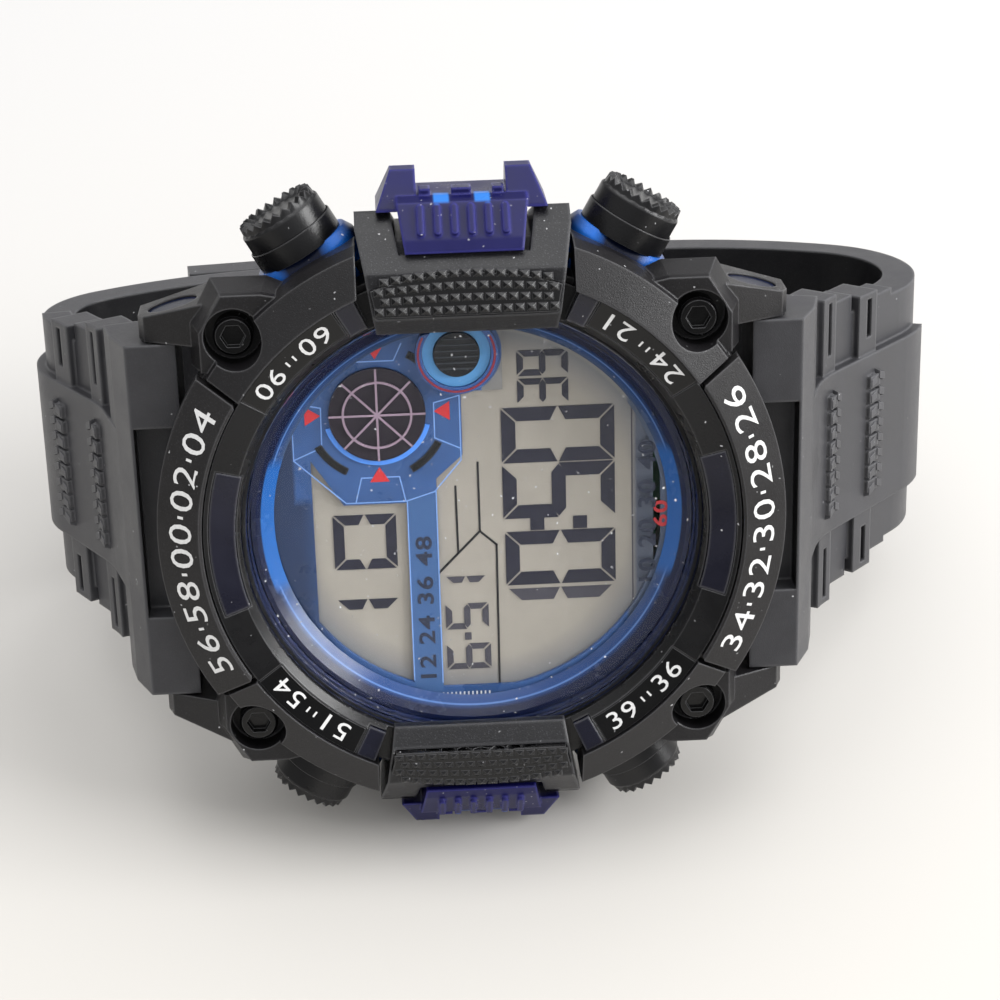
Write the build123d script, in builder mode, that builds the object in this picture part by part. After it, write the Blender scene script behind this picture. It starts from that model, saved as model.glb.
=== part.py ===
from build123d import *
import os
from math import atan2, cos, degrees, radians, sin

os.makedirs("parts", exist_ok=True)

# Sizes are in millimetres, in the watch's own axes: X from 12 to 6 o'clock, Y from 9 to 3 o'clock,
# Z out of the case back through the face. The finished pieces are laid on the 9 o'clock side at the end.

# Clearances and cuts
seat_gap = 0.05
running_gap = 0.1
air_gap = 0.3
cut_over = 6.0

# Case back, its screws and its gasket
back_radius = 19.6
back_thickness = 1.4
back_edge = 0.4
back_panel_radius = 12.0
back_panel_depth = 0.2
spigot_wall = 1.0
spigot_rise = 0.5
screw_circle = 17.95
screw_head_radius = 1.15
screw_head_depth = 0.7
screw_shank_radius = 0.7
screw_length = 5.0
screw_slot_width = 0.4
screw_slot_depth = 0.35
back_gasket_radius = 16.45
back_gasket_width = 0.5

# Inner case
case_radius = 20.0
case_shoulder = 10.0
neck_radius = 18.6
neck_top = 12.8
cavity_radius = 15.7
flange_seat = 10.3
flange_seat_radius = 16.35
crystal_seat = 11.6
crystal_bore_radius = 16.95
arm_low = 5.4
arm_top = 8.0
arm_start = 13.0
arm_inner = 13.8
arm_bend = 17.4
arm_lug_inner = 14.2
arm_lug_outer = 15.1
arm_lug_reach = 23.3
arm_outer_bend = 17.5
arm_outer = 16.5

# Pushers, their collars and what holds them
pusher_angles = {"reset": 60, "start": 120, "light": -120, "mode": -60}
pusher_height = 7.5
collar_width = 8.0
collar_height = 5.8
collar_corner = 2.6
collar_root = 18.0
collar_stand = 3.2
collar_round = 0.7
collar_taper = 30
cap_radius = 2.85
cap_skirt_radius = 2.15
cap_base = 22.4
cap_head_length = 2.1
cap_rim = 0.4
cap_roof = 1.4
cap_pocket_radius = 1.8
crown_depth = 0.6
crown_groove_width = 0.95
crown_groove_count = 8
stem_radius = 1.0
stem_end = 15.6
pusher_travel = 1.0
clip_pocket_size = 4.4
clip_pocket_floor = 17.3
clip_radius = 1.9
clip_thickness = 0.3
clip_groove_radius = 0.7
o_ring_place = 18.95
o_ring_wire = 0.27
spring_wire = 0.16
spring_radius = 1.5
spring_turns = 5

# Outer shell
shell_low = 2.0
shell_skirt_radius = 21.6
shell_belt_radius = 22.4
shell_belt_height = 6.0
shell_waist_radius = 22.6
shell_waist_height = 12.0
shell_brow_radius = 22.3
shell_brow_height = 13.7
shell_crest_height = 15.0
shell_ledge_height = 12.85
strap_bay = 20.75
strap_bay_top = 10.2

# Bolt bosses and corner bolts
boss_low = 4.4
boss_undercut = 2.6
boss_face = 13.0
boss_bevel_height = 12.55
boss_bevel = 0.1
boss_belt_height = 10.65
boss_spread = 0.8
boss_reach = 19.0
boss_shoulder = 15.5
boss_brow = 17.3
boss_side = 18.2
boss_inner_brow = 14.5
boss_root_x = 10.5
boss_root_y = 12.6
bolt_x = 16.6
bolt_y = 15.15
bolt_head_radius = 1.45
bolt_top = 12.7
bolt_head_height = 1.5
bolt_edge = 0.2
bolt_shank_radius = 0.9
bolt_low = 5.6
bolt_recess_radius = 0.9
bolt_recess_depth = 0.6
counterbore_radius = 2.1

# Lug horns
horn_root = 17.0
horn_shoulder = 18.8
horn_top = 11.4
horn_brow = 23.2
horn_brow_height = 9.2
horn_reach = 23.65
horn_face_top = 8.2
horn_face_low = 4.5
horn_heel = 22.5
horn_low = 2.6
horn_inner = 14.0
horn_root_outer = 17.2
horn_tip_outer = 15.7
horn_break_height = 5.6
horn_undercut = 1.25
lens_x = 21.1
lens_height = 8.15
lens_length = 4.0
lens_width = 2.6
lens_slope = 25
lens_sunk = 0.15
lens_depth = 1.7

# Index pads
pad_half_angle = 32.5
pad_radius = 23.0
pad_edge_height = 13.5
pad_crest_height = 15.1
pad_thickness = 1.25
pad_round = 0.25
pad_seat_over = 1

# Bezel ring, label plates and navy tabs
ring_low = 12.9
ring_base_top = 13.5
ring_bore = 16.95
ring_radius = 19.6
ring_crest_radius = 17.5
ring_crest_height = 14.2
ring_top_height = 14.6
plate_depth = 0.5
plate_inner = 17.55
plate_start = 34
plate_end = 61
tab_inner = 17.3
tab_outer = 19.2
tab_half_angle = 17
guard_tab_start = 61.6
guard_tab_end = 66

# Guards over the glass
guard_lip_y = 15.3
guard_lip_height = 14.3
guard_under = 13.55
guard_crest_y = 16.8
guard_crest_height = 15.3
guard_brow_y = 19.8
guard_brow_height = 14.64
guard_slope_y = 22.3
guard_slope_height = 12.0
guard_flank_y = 23.3
guard_flank_height = 10.4
guard_heel_y = 21.2
guard_low = 5.0
guard_lip_half = 6.4
guard_brow_half = 7.1
guard_foot_half = 7.65
guard_wall_radius = 21.0
guard_shoulder = 10.05

# Grip panels
grip_half = 6.35
grip_corner_half = 6.75
grip_corner_reach = 1.9
grip_reach = 3.0
grip_thickness = 0.7
grip_sunk = 0.4
grip_pitch = 1.2
grip_row = 0.78
grip_groove_width = 0.8
grip_groove_depth = 0.36

# Guard inserts
insert_foot_y = 20.5
insert_face_y = 20.95
insert_face_height = 14.0
insert_bend_y = 21.8
insert_bend_height = 13.5
insert_brow_y = 24.0
insert_brow_height = 11.6
insert_top_y = 24.3
insert_top_height = 10.6
insert_low_y = 23.4
insert_low = 6.6
insert_heel = 5.4
insert_toe_height = 12.7
insert_back_y = 21.6
insert_back_height = 12.2
stud_places = [-2.6, 0.0, 2.6]
stud_widths = [0.8, 1.4, 0.8]
stud_height = 0.45
stud_drop = 1.2
insert_brow_half = 4.65
insert_foot_half = 4.1
recess_half = 5.3
recess_foot_half = 4.5
recess_foot_y = 20.2
rib_count = 6
rib_pitch = 1.2
rib_width = 0.5
rib_rise = 0.35
ear_inner = 3.2
ear_outer = 6.1
ear_tip_outer = 5.0
ear_front_height = 11.3
ear_tip_y = 25.9
ear_tip_top = 9.2
ear_tip_low = 7.8
ear_rest_y = 23.35
ear_heel_y = 23.0
ear_heel = 6.0

# Glass, flange and dial
crystal_radius = 16.6
crystal_top = 13.35
crystal_edge = 0.3
flange_radius = 16.25
flange_top_radius = 15.9
flange_inner_radius = 14.6
flange_top = 11.55
mask_low = 9.75
mask_top = 10.05
mask_rim = 14.3
strip_left = -4.7
strip_right = -2.5
window_left = -11.7
window_low = -14.0
window_right = 14.1
octagon_left = -13.0
octagon_right = -0.5
octagon_low = 1.1
octagon_cut = 3.6
subdial_x = -6.65
subdial_y = 8.16
subdial_radius = 3.55
subdial_thickness = 0.3
subdial_spoke = 0.12
porthole_x = -0.73
porthole_y = 12.6
porthole_radius = 3.0
porthole_inner = 2.5
porthole_core_radius = 1.67
porthole_thickness = 0.75
porthole_clip_radius = 14.5

# Display and module
lcd_radius = 15.0
lcd_half = 13.6
lcd_low = 8.6
lcd_top = 9.7
glow_half_x = 9.9
glow_half_y = 10.5
glow_low = 7.75
glow_thickness = 0.5
contact_strip_x = 11.2
contact_strip_width = 1.6
contact_strip_length = 16.0
board_radius = 14.6
board_low = 5.65
board_thickness = 0.75
frame_low = 2.2
frame_wall_inner = 14.7
frame_top = 8.3
battery_radius = 10.0
battery_thickness = 2.5
battery_y = -4.0
battery_low = 2.35
battery_edge = 0.3
clip_half_x = 12.6
clip_width = 5.0
clip_plate = 0.2
clip_low = 1.95
chip_x = 4.0
chip_y = 3.5
chip_radius = 3.0
chip_height = 0.85
crystal_can_radius = 0.6
crystal_can_length = 5.0
crystal_can_x = -5.5
crystal_can_y = 5.0
component_place_shares = [(-0.41, -0.14), (-0.41, -0.34), (0.03, -0.48), (0.27, -0.48), (0.51, -0.34)]
component_length = 2.0
component_width = 1.2
component_height = 0.6
buzzer_radius = 8.0
buzzer_y = 5.0
buzzer_thickness = 0.25
buzzer_spring_y = 9.5
buzzer_spring_radius = 0.7
buzzer_spring_wire = 0.12
buzzer_spring_turns = 5
leaf_radius = 14.4
leaf_thickness = 0.2
leaf_width = 2.4
leaf_top = 8.2
leaf_foot = 1.2

# Strap: the run of its inner face from the case to the wrist side
band_start_x = 22.8
band_start_z = 5.8
band_start_heading = 17
band_thickness = 2.6
panel_rise = 0.8
band_half = 10.4
band_end_half = 13.85
tail_first_run = 3.0
tail_flare_heading = 41
buckle_first_run = 5.0
buckle_flare_heading = 31.5
flare_radius = 14.0
tail_corner_radius = 7.0
tail_corner_heading = -63
buckle_corner_radius = 5.0
buckle_corner_heading = -58
back_radius_of_curve = 32.0
back_slope = 8
pivot_x = 7.0
pivot_z = -23.67
end_face_x = 21.0
end_brow_x = 24.7
end_face_height = 9.7
end_edge_x = 26.05
end_edge_height = 6.8
end_heel_x = 22.6
end_heel_height = 2.6
end_back_height = 4.0
end_notch_half = 7.5
end_notch_reach = 24.5
end_notch_floor = 7.6
side_block_starts = [0.3, 6.3, 12.6]
side_block_length = 2.7
side_block_halves = [13.5, 12.7, 11.6]
side_saddle_halves = [12.7, 11.8, 10.9]
side_block_rise = 0.55
side_slot_start = 1.2
side_slot_length = 0.7
side_slot_depth = 1.2
side_slot_inner = 8.0
side_slot_end = 0.5
panel_half = 6.6
panel_length = 22.5
rope_rows = [6.9, 13.6]
rope_half = 5.0
rope_count = 8
rope_width = 1.5
rope_rise = 0.35
spring_bar_x = 22.4
spring_bar_z = 6.3
spring_bar_radius = 0.85
spring_bar_half = 13.5
spring_tip_radius = 0.5
spring_tip_reach = 15.1

# Buckle, keeper and the overlap of the two strap halves
pivot_out = 1.3
buckle_bar_radius = 0.75
ramp_foot = 9.0
ramp_top = 1.5
overlap_out = 2.9
tail_end = 29.0
loop_end = 1.5
prong_slot_half = 1.35
prong_slot_foot = 5.2
tail_hole_start = -4.3
tail_hole_length = 4.6
tail_hole_half = 1.35
tail_hole_pitch = 6.2
tail_hole_count = 4
frame_inner_half = 10.75
frame_arm = 1.2
frame_bar_place = 9.6
frame_bar_half_length = 0.9
frame_bar_low = 3.0
frame_bar_top = 4.8
frame_eye_radius = 1.5
prong_half = 0.9
prong_eye_radius = 1.35
prong_thickness = 0.9
prong_knee_place = 2.9
prong_knee_out = 6.1
prong_tip_place = 10.4
keeper_place = 12.0
keeper_width = 5.0
keeper_wall = 1.1
keeper_corner = 0.9

# Places that follow from the sizes above
case_floor = back_thickness + seat_gap
spigot_radius = cavity_radius - running_gap
board_top = board_low + board_thickness
ring_seat_radius = ring_radius + seat_gap
collar_reach = case_radius + collar_stand
cap_head_base = collar_reach + pusher_travel + running_gap
cap_reach = cap_head_base + cap_head_length
cap_pocket_end = cap_reach - cap_roof
cap_bore_floor = cap_base - pusher_travel - 2 * running_gap
component_places = [(board_radius * across, board_radius * up) for across, up in component_place_shares]
overlap_top = overlap_out + band_thickness
keeper_half = band_half + air_gap / 2 + keeper_wall


def spoke_plane(angle):
    """Upright plane through the watch axis, its own X running outward at the angle."""
    outward = (cos(radians(angle)), sin(radians(angle)), 0)
    return Plane(origin=(0, 0, 0), x_dir=outward, z_dir=(outward[1], -outward[0], 0))


def pusher_plane(angle, radius):
    """Plane across a pusher's axis at a radius, its normal pointing outward."""
    x, y = cos(radians(angle)), sin(radians(angle))
    return Plane(origin=(radius * x, radius * y, pusher_height), x_dir=(-y, x, 0), z_dir=(x, y, 0))


def sector(profile, start, end):
    """Solid swept by a profile of (radius, height) points round the watch axis."""
    with BuildPart() as swept:
        with BuildSketch(spoke_plane(start)):
            with BuildLine():
                Polyline(*profile, close=True)
            make_face()
        revolve(axis=Axis.Z, revolution_arc=end - start)
    return swept.part


def column(radius, low, high, x=0, y=0):
    """Upright cylinder."""
    with BuildPart() as post:
        with BuildSketch(Plane.XY.offset(low)):
            with Locations((x, y)):
                Circle(radius)
        extrude(amount=high - low)
    return post.part


def block(x_range, y_range, z_range):
    """Box between the given limits."""
    with BuildPart() as cube:
        with BuildSketch(Plane.XY.offset(z_range[0])):
            with Locations(((x_range[0] + x_range[1]) / 2, (y_range[0] + y_range[1]) / 2)):
                Rectangle(x_range[1] - x_range[0], y_range[1] - y_range[0])
        extrude(amount=z_range[1] - z_range[0])
    return cube.part


def collar_window(gap, start):
    """Room round a collar, from a radius outward."""
    with BuildPart() as window:
        for angle in pusher_angles.values():
            with BuildSketch(pusher_plane(angle, start)):
                RectangleRounded(collar_width + 2 * gap, collar_height + 2 * gap, collar_corner)
            extrude(amount=collar_reach - start + cut_over)
    return window.part


def in_corners(piece):
    """The piece and its copies in the other three corners of the face."""
    with BuildPart() as four:
        add(piece)
        mirror(about=Plane.XZ)
        mirror(about=Plane.YZ)
    return four.part


# Inner case
def lug_arm(gap):
    """Arm that carries the corner bolt and the spring bar tip, grown by a gap."""
    with BuildPart() as arm:
        with BuildSketch(Plane.XY.offset(arm_low - gap)):
            with BuildLine():
                Polyline(
                    (arm_start, arm_inner - gap),
                    (arm_bend, arm_inner - gap),
                    (arm_bend + arm_lug_inner - arm_inner, arm_lug_inner - gap),
                    (arm_lug_reach + gap, arm_lug_inner - gap),
                    (arm_lug_reach + gap, arm_lug_outer + gap),
                    (arm_outer_bend + gap, arm_outer + gap),
                    (arm_start, arm_outer + gap),
                    close=True,
                )
            make_face()
        extrude(amount=arm_top - arm_low + 2 * gap)
    return arm.part


def horn_lens(gap, sunk, depth):
    """Lens-shaped prism square to a horn's outer side, where the inner case shows through."""
    taper = atan2(horn_root_outer - horn_tip_outer, horn_reach - horn_shoulder)
    share = (lens_x - horn_shoulder) / (horn_reach - horn_shoulder)
    face_y = horn_root_outer + share * (horn_tip_outer - horn_root_outer)
    face = Plane(
        origin=(lens_x, face_y, lens_height),
        x_dir=(cos(taper), -sin(taper), 0),
        z_dir=(sin(taper), cos(taper), 0),
    )
    with BuildPart() as lens:
        with BuildSketch(face.offset(-depth)):
            Ellipse(lens_length / 2 + gap, lens_width / 2 + gap, rotation=lens_slope)
        extrude(amount=depth - sunk)
    return lens.part


with BuildPart() as inner_case:
    with BuildSketch(Plane.XZ):
        with BuildLine():
            Polyline(
                (cavity_radius, case_floor),
                (case_radius, case_floor),
                (case_radius, case_shoulder),
                (neck_radius, case_shoulder),
                (neck_radius, neck_top),
                (crystal_bore_radius, neck_top),
                (crystal_bore_radius, crystal_seat),
                (flange_seat_radius, crystal_seat),
                (flange_seat_radius, flange_seat),
                (cavity_radius, flange_seat),
                close=True,
            )
        make_face()
    revolve(axis=Axis.Z)
    for angle in pusher_angles.values():
        with BuildSketch(pusher_plane(angle, collar_root)):
            RectangleRounded(collar_width, collar_height, collar_corner)
        extrude(amount=collar_reach - collar_round - collar_root)
        with BuildSketch(pusher_plane(angle, collar_reach - collar_round)):
            RectangleRounded(collar_width, collar_height, collar_corner)
        extrude(amount=collar_round, taper=collar_taper)
    add(in_corners(lug_arm(0)))
    add(in_corners(horn_lens(0, lens_sunk, lens_depth)))
    for angle in pusher_angles.values():
        with BuildSketch(pusher_plane(angle, cap_bore_floor)):
            Circle(cap_skirt_radius + running_gap)
        extrude(amount=cut_over, mode=Mode.SUBTRACT)
        with BuildSketch(pusher_plane(angle, cavity_radius - cut_over / 2)):
            Circle(stem_radius + seat_gap)
        extrude(amount=cut_over * 2, mode=Mode.SUBTRACT)
        with BuildSketch(pusher_plane(angle, o_ring_place - o_ring_wire - seat_gap)):
            Circle(stem_radius + 2 * o_ring_wire + 2 * seat_gap)
        extrude(amount=2 * (o_ring_wire + seat_gap), mode=Mode.SUBTRACT)
        with BuildSketch(pusher_plane(angle, cavity_radius - cut_over / 2)):
            Rectangle(clip_pocket_size, clip_pocket_size)
        extrude(amount=clip_pocket_floor - cavity_radius + cut_over / 2, mode=Mode.SUBTRACT)
    with BuildSketch(Plane.XY.offset(case_floor)):
        Circle(back_gasket_radius + back_gasket_width / 2 + seat_gap)
        Circle(back_gasket_radius - back_gasket_width / 2 - seat_gap, mode=Mode.SUBTRACT)
    extrude(amount=back_gasket_width + seat_gap, mode=Mode.SUBTRACT)
    with BuildSketch(Plane.XY.offset(case_floor)):
        with PolarLocations(screw_circle, 4, start_angle=45):
            Circle(screw_shank_radius + seat_gap)
    extrude(amount=screw_length - case_floor + seat_gap, mode=Mode.SUBTRACT)
    with BuildSketch(Plane.XY.offset(arm_low)):
        with GridLocations(2 * bolt_x, 2 * bolt_y, 2, 2):
            Circle(bolt_shank_radius + seat_gap)
    extrude(amount=arm_top - arm_low, mode=Mode.SUBTRACT)
    with BuildSketch(Plane.XZ):
        with Locations((spring_bar_x, spring_bar_z), (-spring_bar_x, spring_bar_z)):
            Circle(spring_tip_radius + seat_gap)
    extrude(amount=arm_outer + cut_over, both=True, mode=Mode.SUBTRACT)

# Case back, its gasket and screws
with BuildPart() as case_back:
    with BuildSketch():
        Circle(back_radius)
    extrude(amount=back_thickness)
    chamfer(case_back.faces().sort_by(Axis.Z)[0].edges(), back_edge)
    with BuildSketch(Plane.XY.offset(back_thickness)):
        Circle(spigot_radius)
        Circle(spigot_radius - spigot_wall, mode=Mode.SUBTRACT)
    extrude(amount=spigot_rise)
    with BuildSketch():
        Circle(back_panel_radius)
    extrude(amount=back_panel_depth, mode=Mode.SUBTRACT)
    with BuildSketch():
        with PolarLocations(screw_circle, 4, start_angle=45):
            Circle(screw_head_radius + seat_gap)
    extrude(amount=screw_head_depth + seat_gap, mode=Mode.SUBTRACT)
    with BuildSketch():
        with PolarLocations(screw_circle, 4, start_angle=45):
            Circle(screw_shank_radius + seat_gap)
    extrude(amount=back_thickness, mode=Mode.SUBTRACT)

with BuildPart() as case_back_gasket:
    with BuildSketch(Plane.XY.offset(case_floor)):
        Circle(back_gasket_radius + back_gasket_width / 2)
        Circle(back_gasket_radius - back_gasket_width / 2, mode=Mode.SUBTRACT)
    extrude(amount=back_gasket_width)

with BuildPart() as case_back_screws:
    with BuildSketch():
        with PolarLocations(screw_circle, 4, start_angle=45):
            Circle(screw_head_radius)
    extrude(amount=screw_head_depth)
    with BuildSketch(Plane.XY.offset(screw_head_depth)):
        with PolarLocations(screw_circle, 4, start_angle=45):
            Circle(screw_shank_radius)
    extrude(amount=screw_length - screw_head_depth)
    with BuildSketch():
        with PolarLocations(screw_circle, 4, start_angle=45):
            Rectangle(2 * screw_head_radius, screw_slot_width)
            Rectangle(screw_slot_width, 2 * screw_head_radius)
    extrude(amount=screw_slot_depth, mode=Mode.SUBTRACT)

# Buzzer under the module
with BuildPart() as buzzer_disc:
    with BuildSketch(Plane.XY.offset(case_floor)):
        with Locations((0, buzzer_y)):
            Circle(buzzer_radius)
    extrude(amount=buzzer_thickness)


def coil(radius, wire, height, turns):
    """Open coil spring along Z, standing on its lowest point."""
    rise = height - 2 * wire
    with BuildPart() as spring:
        with BuildLine() as path:
            Helix(pitch=rise / turns, height=rise, radius=radius, center=(0, 0, wire))
        with BuildSketch(Plane(origin=path.line @ 0, z_dir=path.line % 0)):
            Circle(wire)
        sweep(path=path.line)
    return spring.part


buzzer_spring_low = case_floor + buzzer_thickness + seat_gap
with BuildPart() as buzzer_spring:
    with Locations((0, buzzer_spring_y, buzzer_spring_low)):
        add(
            coil(
                buzzer_spring_radius,
                buzzer_spring_wire,
                board_low - seat_gap - buzzer_spring_low,
                buzzer_spring_turns,
            )
        )

# Corner bolt seats, shared by the shell and the bolts
bolt_seat = bolt_top - bolt_head_height
shell_core = [
    (0, -cut_over),
    (case_radius + seat_gap, -cut_over),
    (case_radius + seat_gap, case_shoulder + seat_gap),
    (neck_radius + seat_gap, case_shoulder + seat_gap),
    (neck_radius + seat_gap, shell_ledge_height),
    (ring_seat_radius, shell_ledge_height),
    (ring_seat_radius, shell_crest_height + cut_over),
    (0, shell_crest_height + cut_over),
]


def boss_outline(height, spread, draw):
    """Outline of a bolt boss at a height, spread outward and drawn in at its outer flank."""
    with BuildSketch(Plane.XY.offset(height)) as outline:
        with BuildLine():
            Polyline(
                (boss_root_x, boss_root_y),
                (boss_reach + spread, boss_root_y),
                (boss_reach + spread, boss_shoulder + spread / 2 - draw),
                (boss_brow + spread, boss_side + spread - draw),
                (boss_inner_brow - spread / 2, boss_side + spread - draw),
                (boss_root_x, boss_side - boss_spread - draw),
                close=True,
            )
        make_face()
    return outline.sketch


def bolt_boss():
    """Boss round a corner bolt: bevelled front, flanks sloping out to the belt, then drawn in below."""
    levels = [
        (boss_low, boss_spread, boss_undercut),
        (boss_belt_height, boss_spread, 0),
        (boss_bevel_height, boss_bevel, 0),
        (boss_face, 0, 0),
    ]
    with BuildPart() as boss:
        for low, high in zip(levels, levels[1:]):
            loft([boss_outline(*low), boss_outline(*high)], ruled=True)
    return boss.part


def horn_outline(height, draw):
    """Plan of a horn at a height, its outer side tapering to the tip and drawn in below."""
    with BuildSketch(Plane.XY.offset(height)) as outline:
        with BuildLine():
            Polyline(
                (horn_root, horn_inner),
                (horn_reach, horn_inner),
                (horn_reach, horn_tip_outer - draw),
                (horn_shoulder, horn_root_outer - draw),
                (horn_root, horn_root_outer - draw),
                close=True,
            )
        make_face()
    return outline.sketch


def lug_horn():
    """Horn beside the strap, tapering in plan towards its tip and undercut at its outer side."""
    with BuildPart() as horn:
        loft([horn_outline(horn_low, horn_undercut), horn_outline(horn_break_height, 0)], ruled=True)
        loft([horn_outline(horn_break_height, 0), horn_outline(horn_top, 0)], ruled=True)
        with BuildSketch(Plane.XZ):
            with BuildLine():
                Polyline(
                    (horn_root, horn_top),
                    (horn_shoulder, horn_top),
                    (horn_brow, horn_brow_height),
                    (horn_reach, horn_face_top),
                    (horn_reach, horn_face_low),
                    (horn_heel, horn_low),
                    (horn_root, horn_low),
                    close=True,
                )
            make_face()
        extrude(amount=-horn_root_outer - cut_over, mode=Mode.INTERSECT)
    return horn.part


def guard_room(gap):
    """Room that a guard takes above the shell's wall, on the side of 3 o'clock."""
    half = guard_foot_half + gap
    with BuildPart() as room:
        add(block((-half, half), (0, guard_flank_y + cut_over), (shell_ledge_height, boss_face + cut_over)))
        add(
            block((-half, half), (0, guard_flank_y + cut_over), (guard_shoulder, shell_ledge_height))
            - column(case_radius + seat_gap - gap, 0, boss_face)
        )
        add(
            block((-half, half), (0, guard_flank_y + cut_over), (-cut_over, guard_shoulder))
            - column(guard_wall_radius, -cut_over, boss_face)
        )
    return room.part


with BuildPart() as outer_shell:
    with BuildSketch(Plane.XZ):
        with BuildLine():
            Polyline(
                (0, shell_low),
                (shell_skirt_radius, shell_low),
                (shell_belt_radius, shell_belt_height),
                (shell_waist_radius, shell_waist_height),
                (shell_brow_radius, shell_brow_height),
                (ring_seat_radius, shell_crest_height),
                (0, shell_crest_height),
                close=True,
            )
        make_face()
    revolve(axis=Axis.Z)
    add(block((strap_bay, pad_radius + cut_over), (-horn_inner, horn_inner), (-cut_over, strap_bay_top)),
        mode=Mode.SUBTRACT)
    add(block((-pad_radius - cut_over, -strap_bay), (-horn_inner, horn_inner), (-cut_over, strap_bay_top)),
        mode=Mode.SUBTRACT)
    add(in_corners(bolt_boss()))
    add(in_corners(lug_horn()))
    with BuildSketch(Plane.XZ):
        with BuildLine():
            Polyline(*shell_core, close=True)
        make_face()
    revolve(axis=Axis.Z, mode=Mode.SUBTRACT)
    add(collar_window(running_gap, collar_root - cut_over / 2), mode=Mode.SUBTRACT)
    add(in_corners(lug_arm(seat_gap)), mode=Mode.SUBTRACT)
    add(guard_room(seat_gap), mode=Mode.SUBTRACT)
    add(mirror(guard_room(seat_gap), about=Plane.XZ, mode=Mode.PRIVATE), mode=Mode.SUBTRACT)
    for start in (-pad_half_angle, 180 - pad_half_angle):
        with BuildSketch(spoke_plane(start - pad_seat_over)):
            with BuildLine():
                Polyline(
                    (ring_seat_radius - cut_over, pad_crest_height - pad_thickness - seat_gap),
                    (ring_seat_radius, pad_crest_height - pad_thickness - seat_gap),
                    (pad_radius, pad_edge_height - pad_thickness - seat_gap),
                    (pad_radius + cut_over, pad_edge_height - pad_thickness - seat_gap),
                    (pad_radius + cut_over, pad_crest_height + cut_over),
                    (ring_seat_radius - cut_over, pad_crest_height + cut_over),
                    close=True,
                )
            make_face()
        revolve(axis=Axis.Z, revolution_arc=2 * (pad_half_angle + pad_seat_over), mode=Mode.SUBTRACT)
    with BuildSketch(Plane.XY.offset(bolt_seat - seat_gap)):
        with GridLocations(2 * bolt_x, 2 * bolt_y, 2, 2):
            Circle(counterbore_radius)
    extrude(amount=cut_over, mode=Mode.SUBTRACT)
    with BuildSketch(Plane.XY.offset(bolt_low - seat_gap)):
        with GridLocations(2 * bolt_x, 2 * bolt_y, 2, 2):
            Circle(bolt_shank_radius + seat_gap)
    extrude(amount=bolt_seat - bolt_low, mode=Mode.SUBTRACT)
    with BuildSketch(Plane.XZ):
        with Locations((spring_bar_x, spring_bar_z), (-spring_bar_x, spring_bar_z)):
            Circle(spring_tip_radius + seat_gap)
    extrude(amount=arm_lug_outer, both=True, mode=Mode.SUBTRACT)
    add(in_corners(horn_lens(seat_gap, -cut_over, lens_depth + seat_gap)), mode=Mode.SUBTRACT)

# Corner bolts
with BuildPart() as corner_bolts:
    with BuildSketch(Plane.XY.offset(bolt_seat)):
        with GridLocations(2 * bolt_x, 2 * bolt_y, 2, 2):
            Circle(bolt_head_radius)
    extrude(amount=bolt_head_height)
    chamfer(corner_bolts.faces().filter_by(Plane.XY).group_by(Axis.Z)[-1].edges(), bolt_edge)
    with BuildSketch(Plane.XY.offset(bolt_top)):
        with GridLocations(2 * bolt_x, 2 * bolt_y, 2, 2):
            RegularPolygon(bolt_recess_radius, 6)
    extrude(amount=-bolt_recess_depth, mode=Mode.SUBTRACT)
    with BuildSketch(Plane.XY.offset(bolt_low)):
        with GridLocations(2 * bolt_x, 2 * bolt_y, 2, 2):
            Circle(bolt_shank_radius)
    extrude(amount=bolt_seat - bolt_low)

# Index pads
pad_profile = [
    (ring_seat_radius + seat_gap, pad_crest_height),
    (pad_radius, pad_edge_height),
    (pad_radius, pad_edge_height - pad_thickness),
    (ring_seat_radius + seat_gap, pad_crest_height - pad_thickness),
]


def index_pad(start):
    """Sloping plate on the shell at 12 or 6 o'clock, its outer edge softened."""
    with BuildPart() as pad:
        add(sector(pad_profile, start, start + 2 * pad_half_angle))
        top = pad.faces().sort_by(Axis.Z)[-1]
        chamfer(top.edges(), pad_round)
    return pad.part


with BuildPart() as index_pad_6:
    add(index_pad(-pad_half_angle))

with BuildPart() as index_pad_12:
    add(index_pad(180 - pad_half_angle))

# Bezel ring with seats for its plates and tabs
crest_slope = (ring_top_height - ring_crest_height) / (ring_radius - ring_crest_radius)


def crest_height(radius):
    """Height of the raised part of the ring at a radius."""
    return ring_crest_height + crest_slope * (radius - ring_crest_radius)


def crest_slab(inner, outer, depth, lift):
    """Profile of a slab in the raised part of the ring."""
    return [
        (inner, crest_height(inner) + lift),
        (outer, crest_height(outer) + lift),
        (outer, crest_height(outer) - depth),
        (inner, crest_height(inner) - depth),
    ]


plate_starts = [plate_start, 180 - plate_end, 180 + plate_start, 360 - plate_end]
guard_tab_starts = [guard_tab_start, 180 - guard_tab_end, 180 + guard_tab_start, 360 - guard_tab_end]
gap_angle = degrees(atan2(seat_gap, ring_radius))
cut_angle = 2 * gap_angle


def ring_seat(inner, outer, start, end):
    """Seat for a plate or tab, open upward."""
    return sector(crest_slab(inner, outer, plate_depth, cut_over), start, end)


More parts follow.
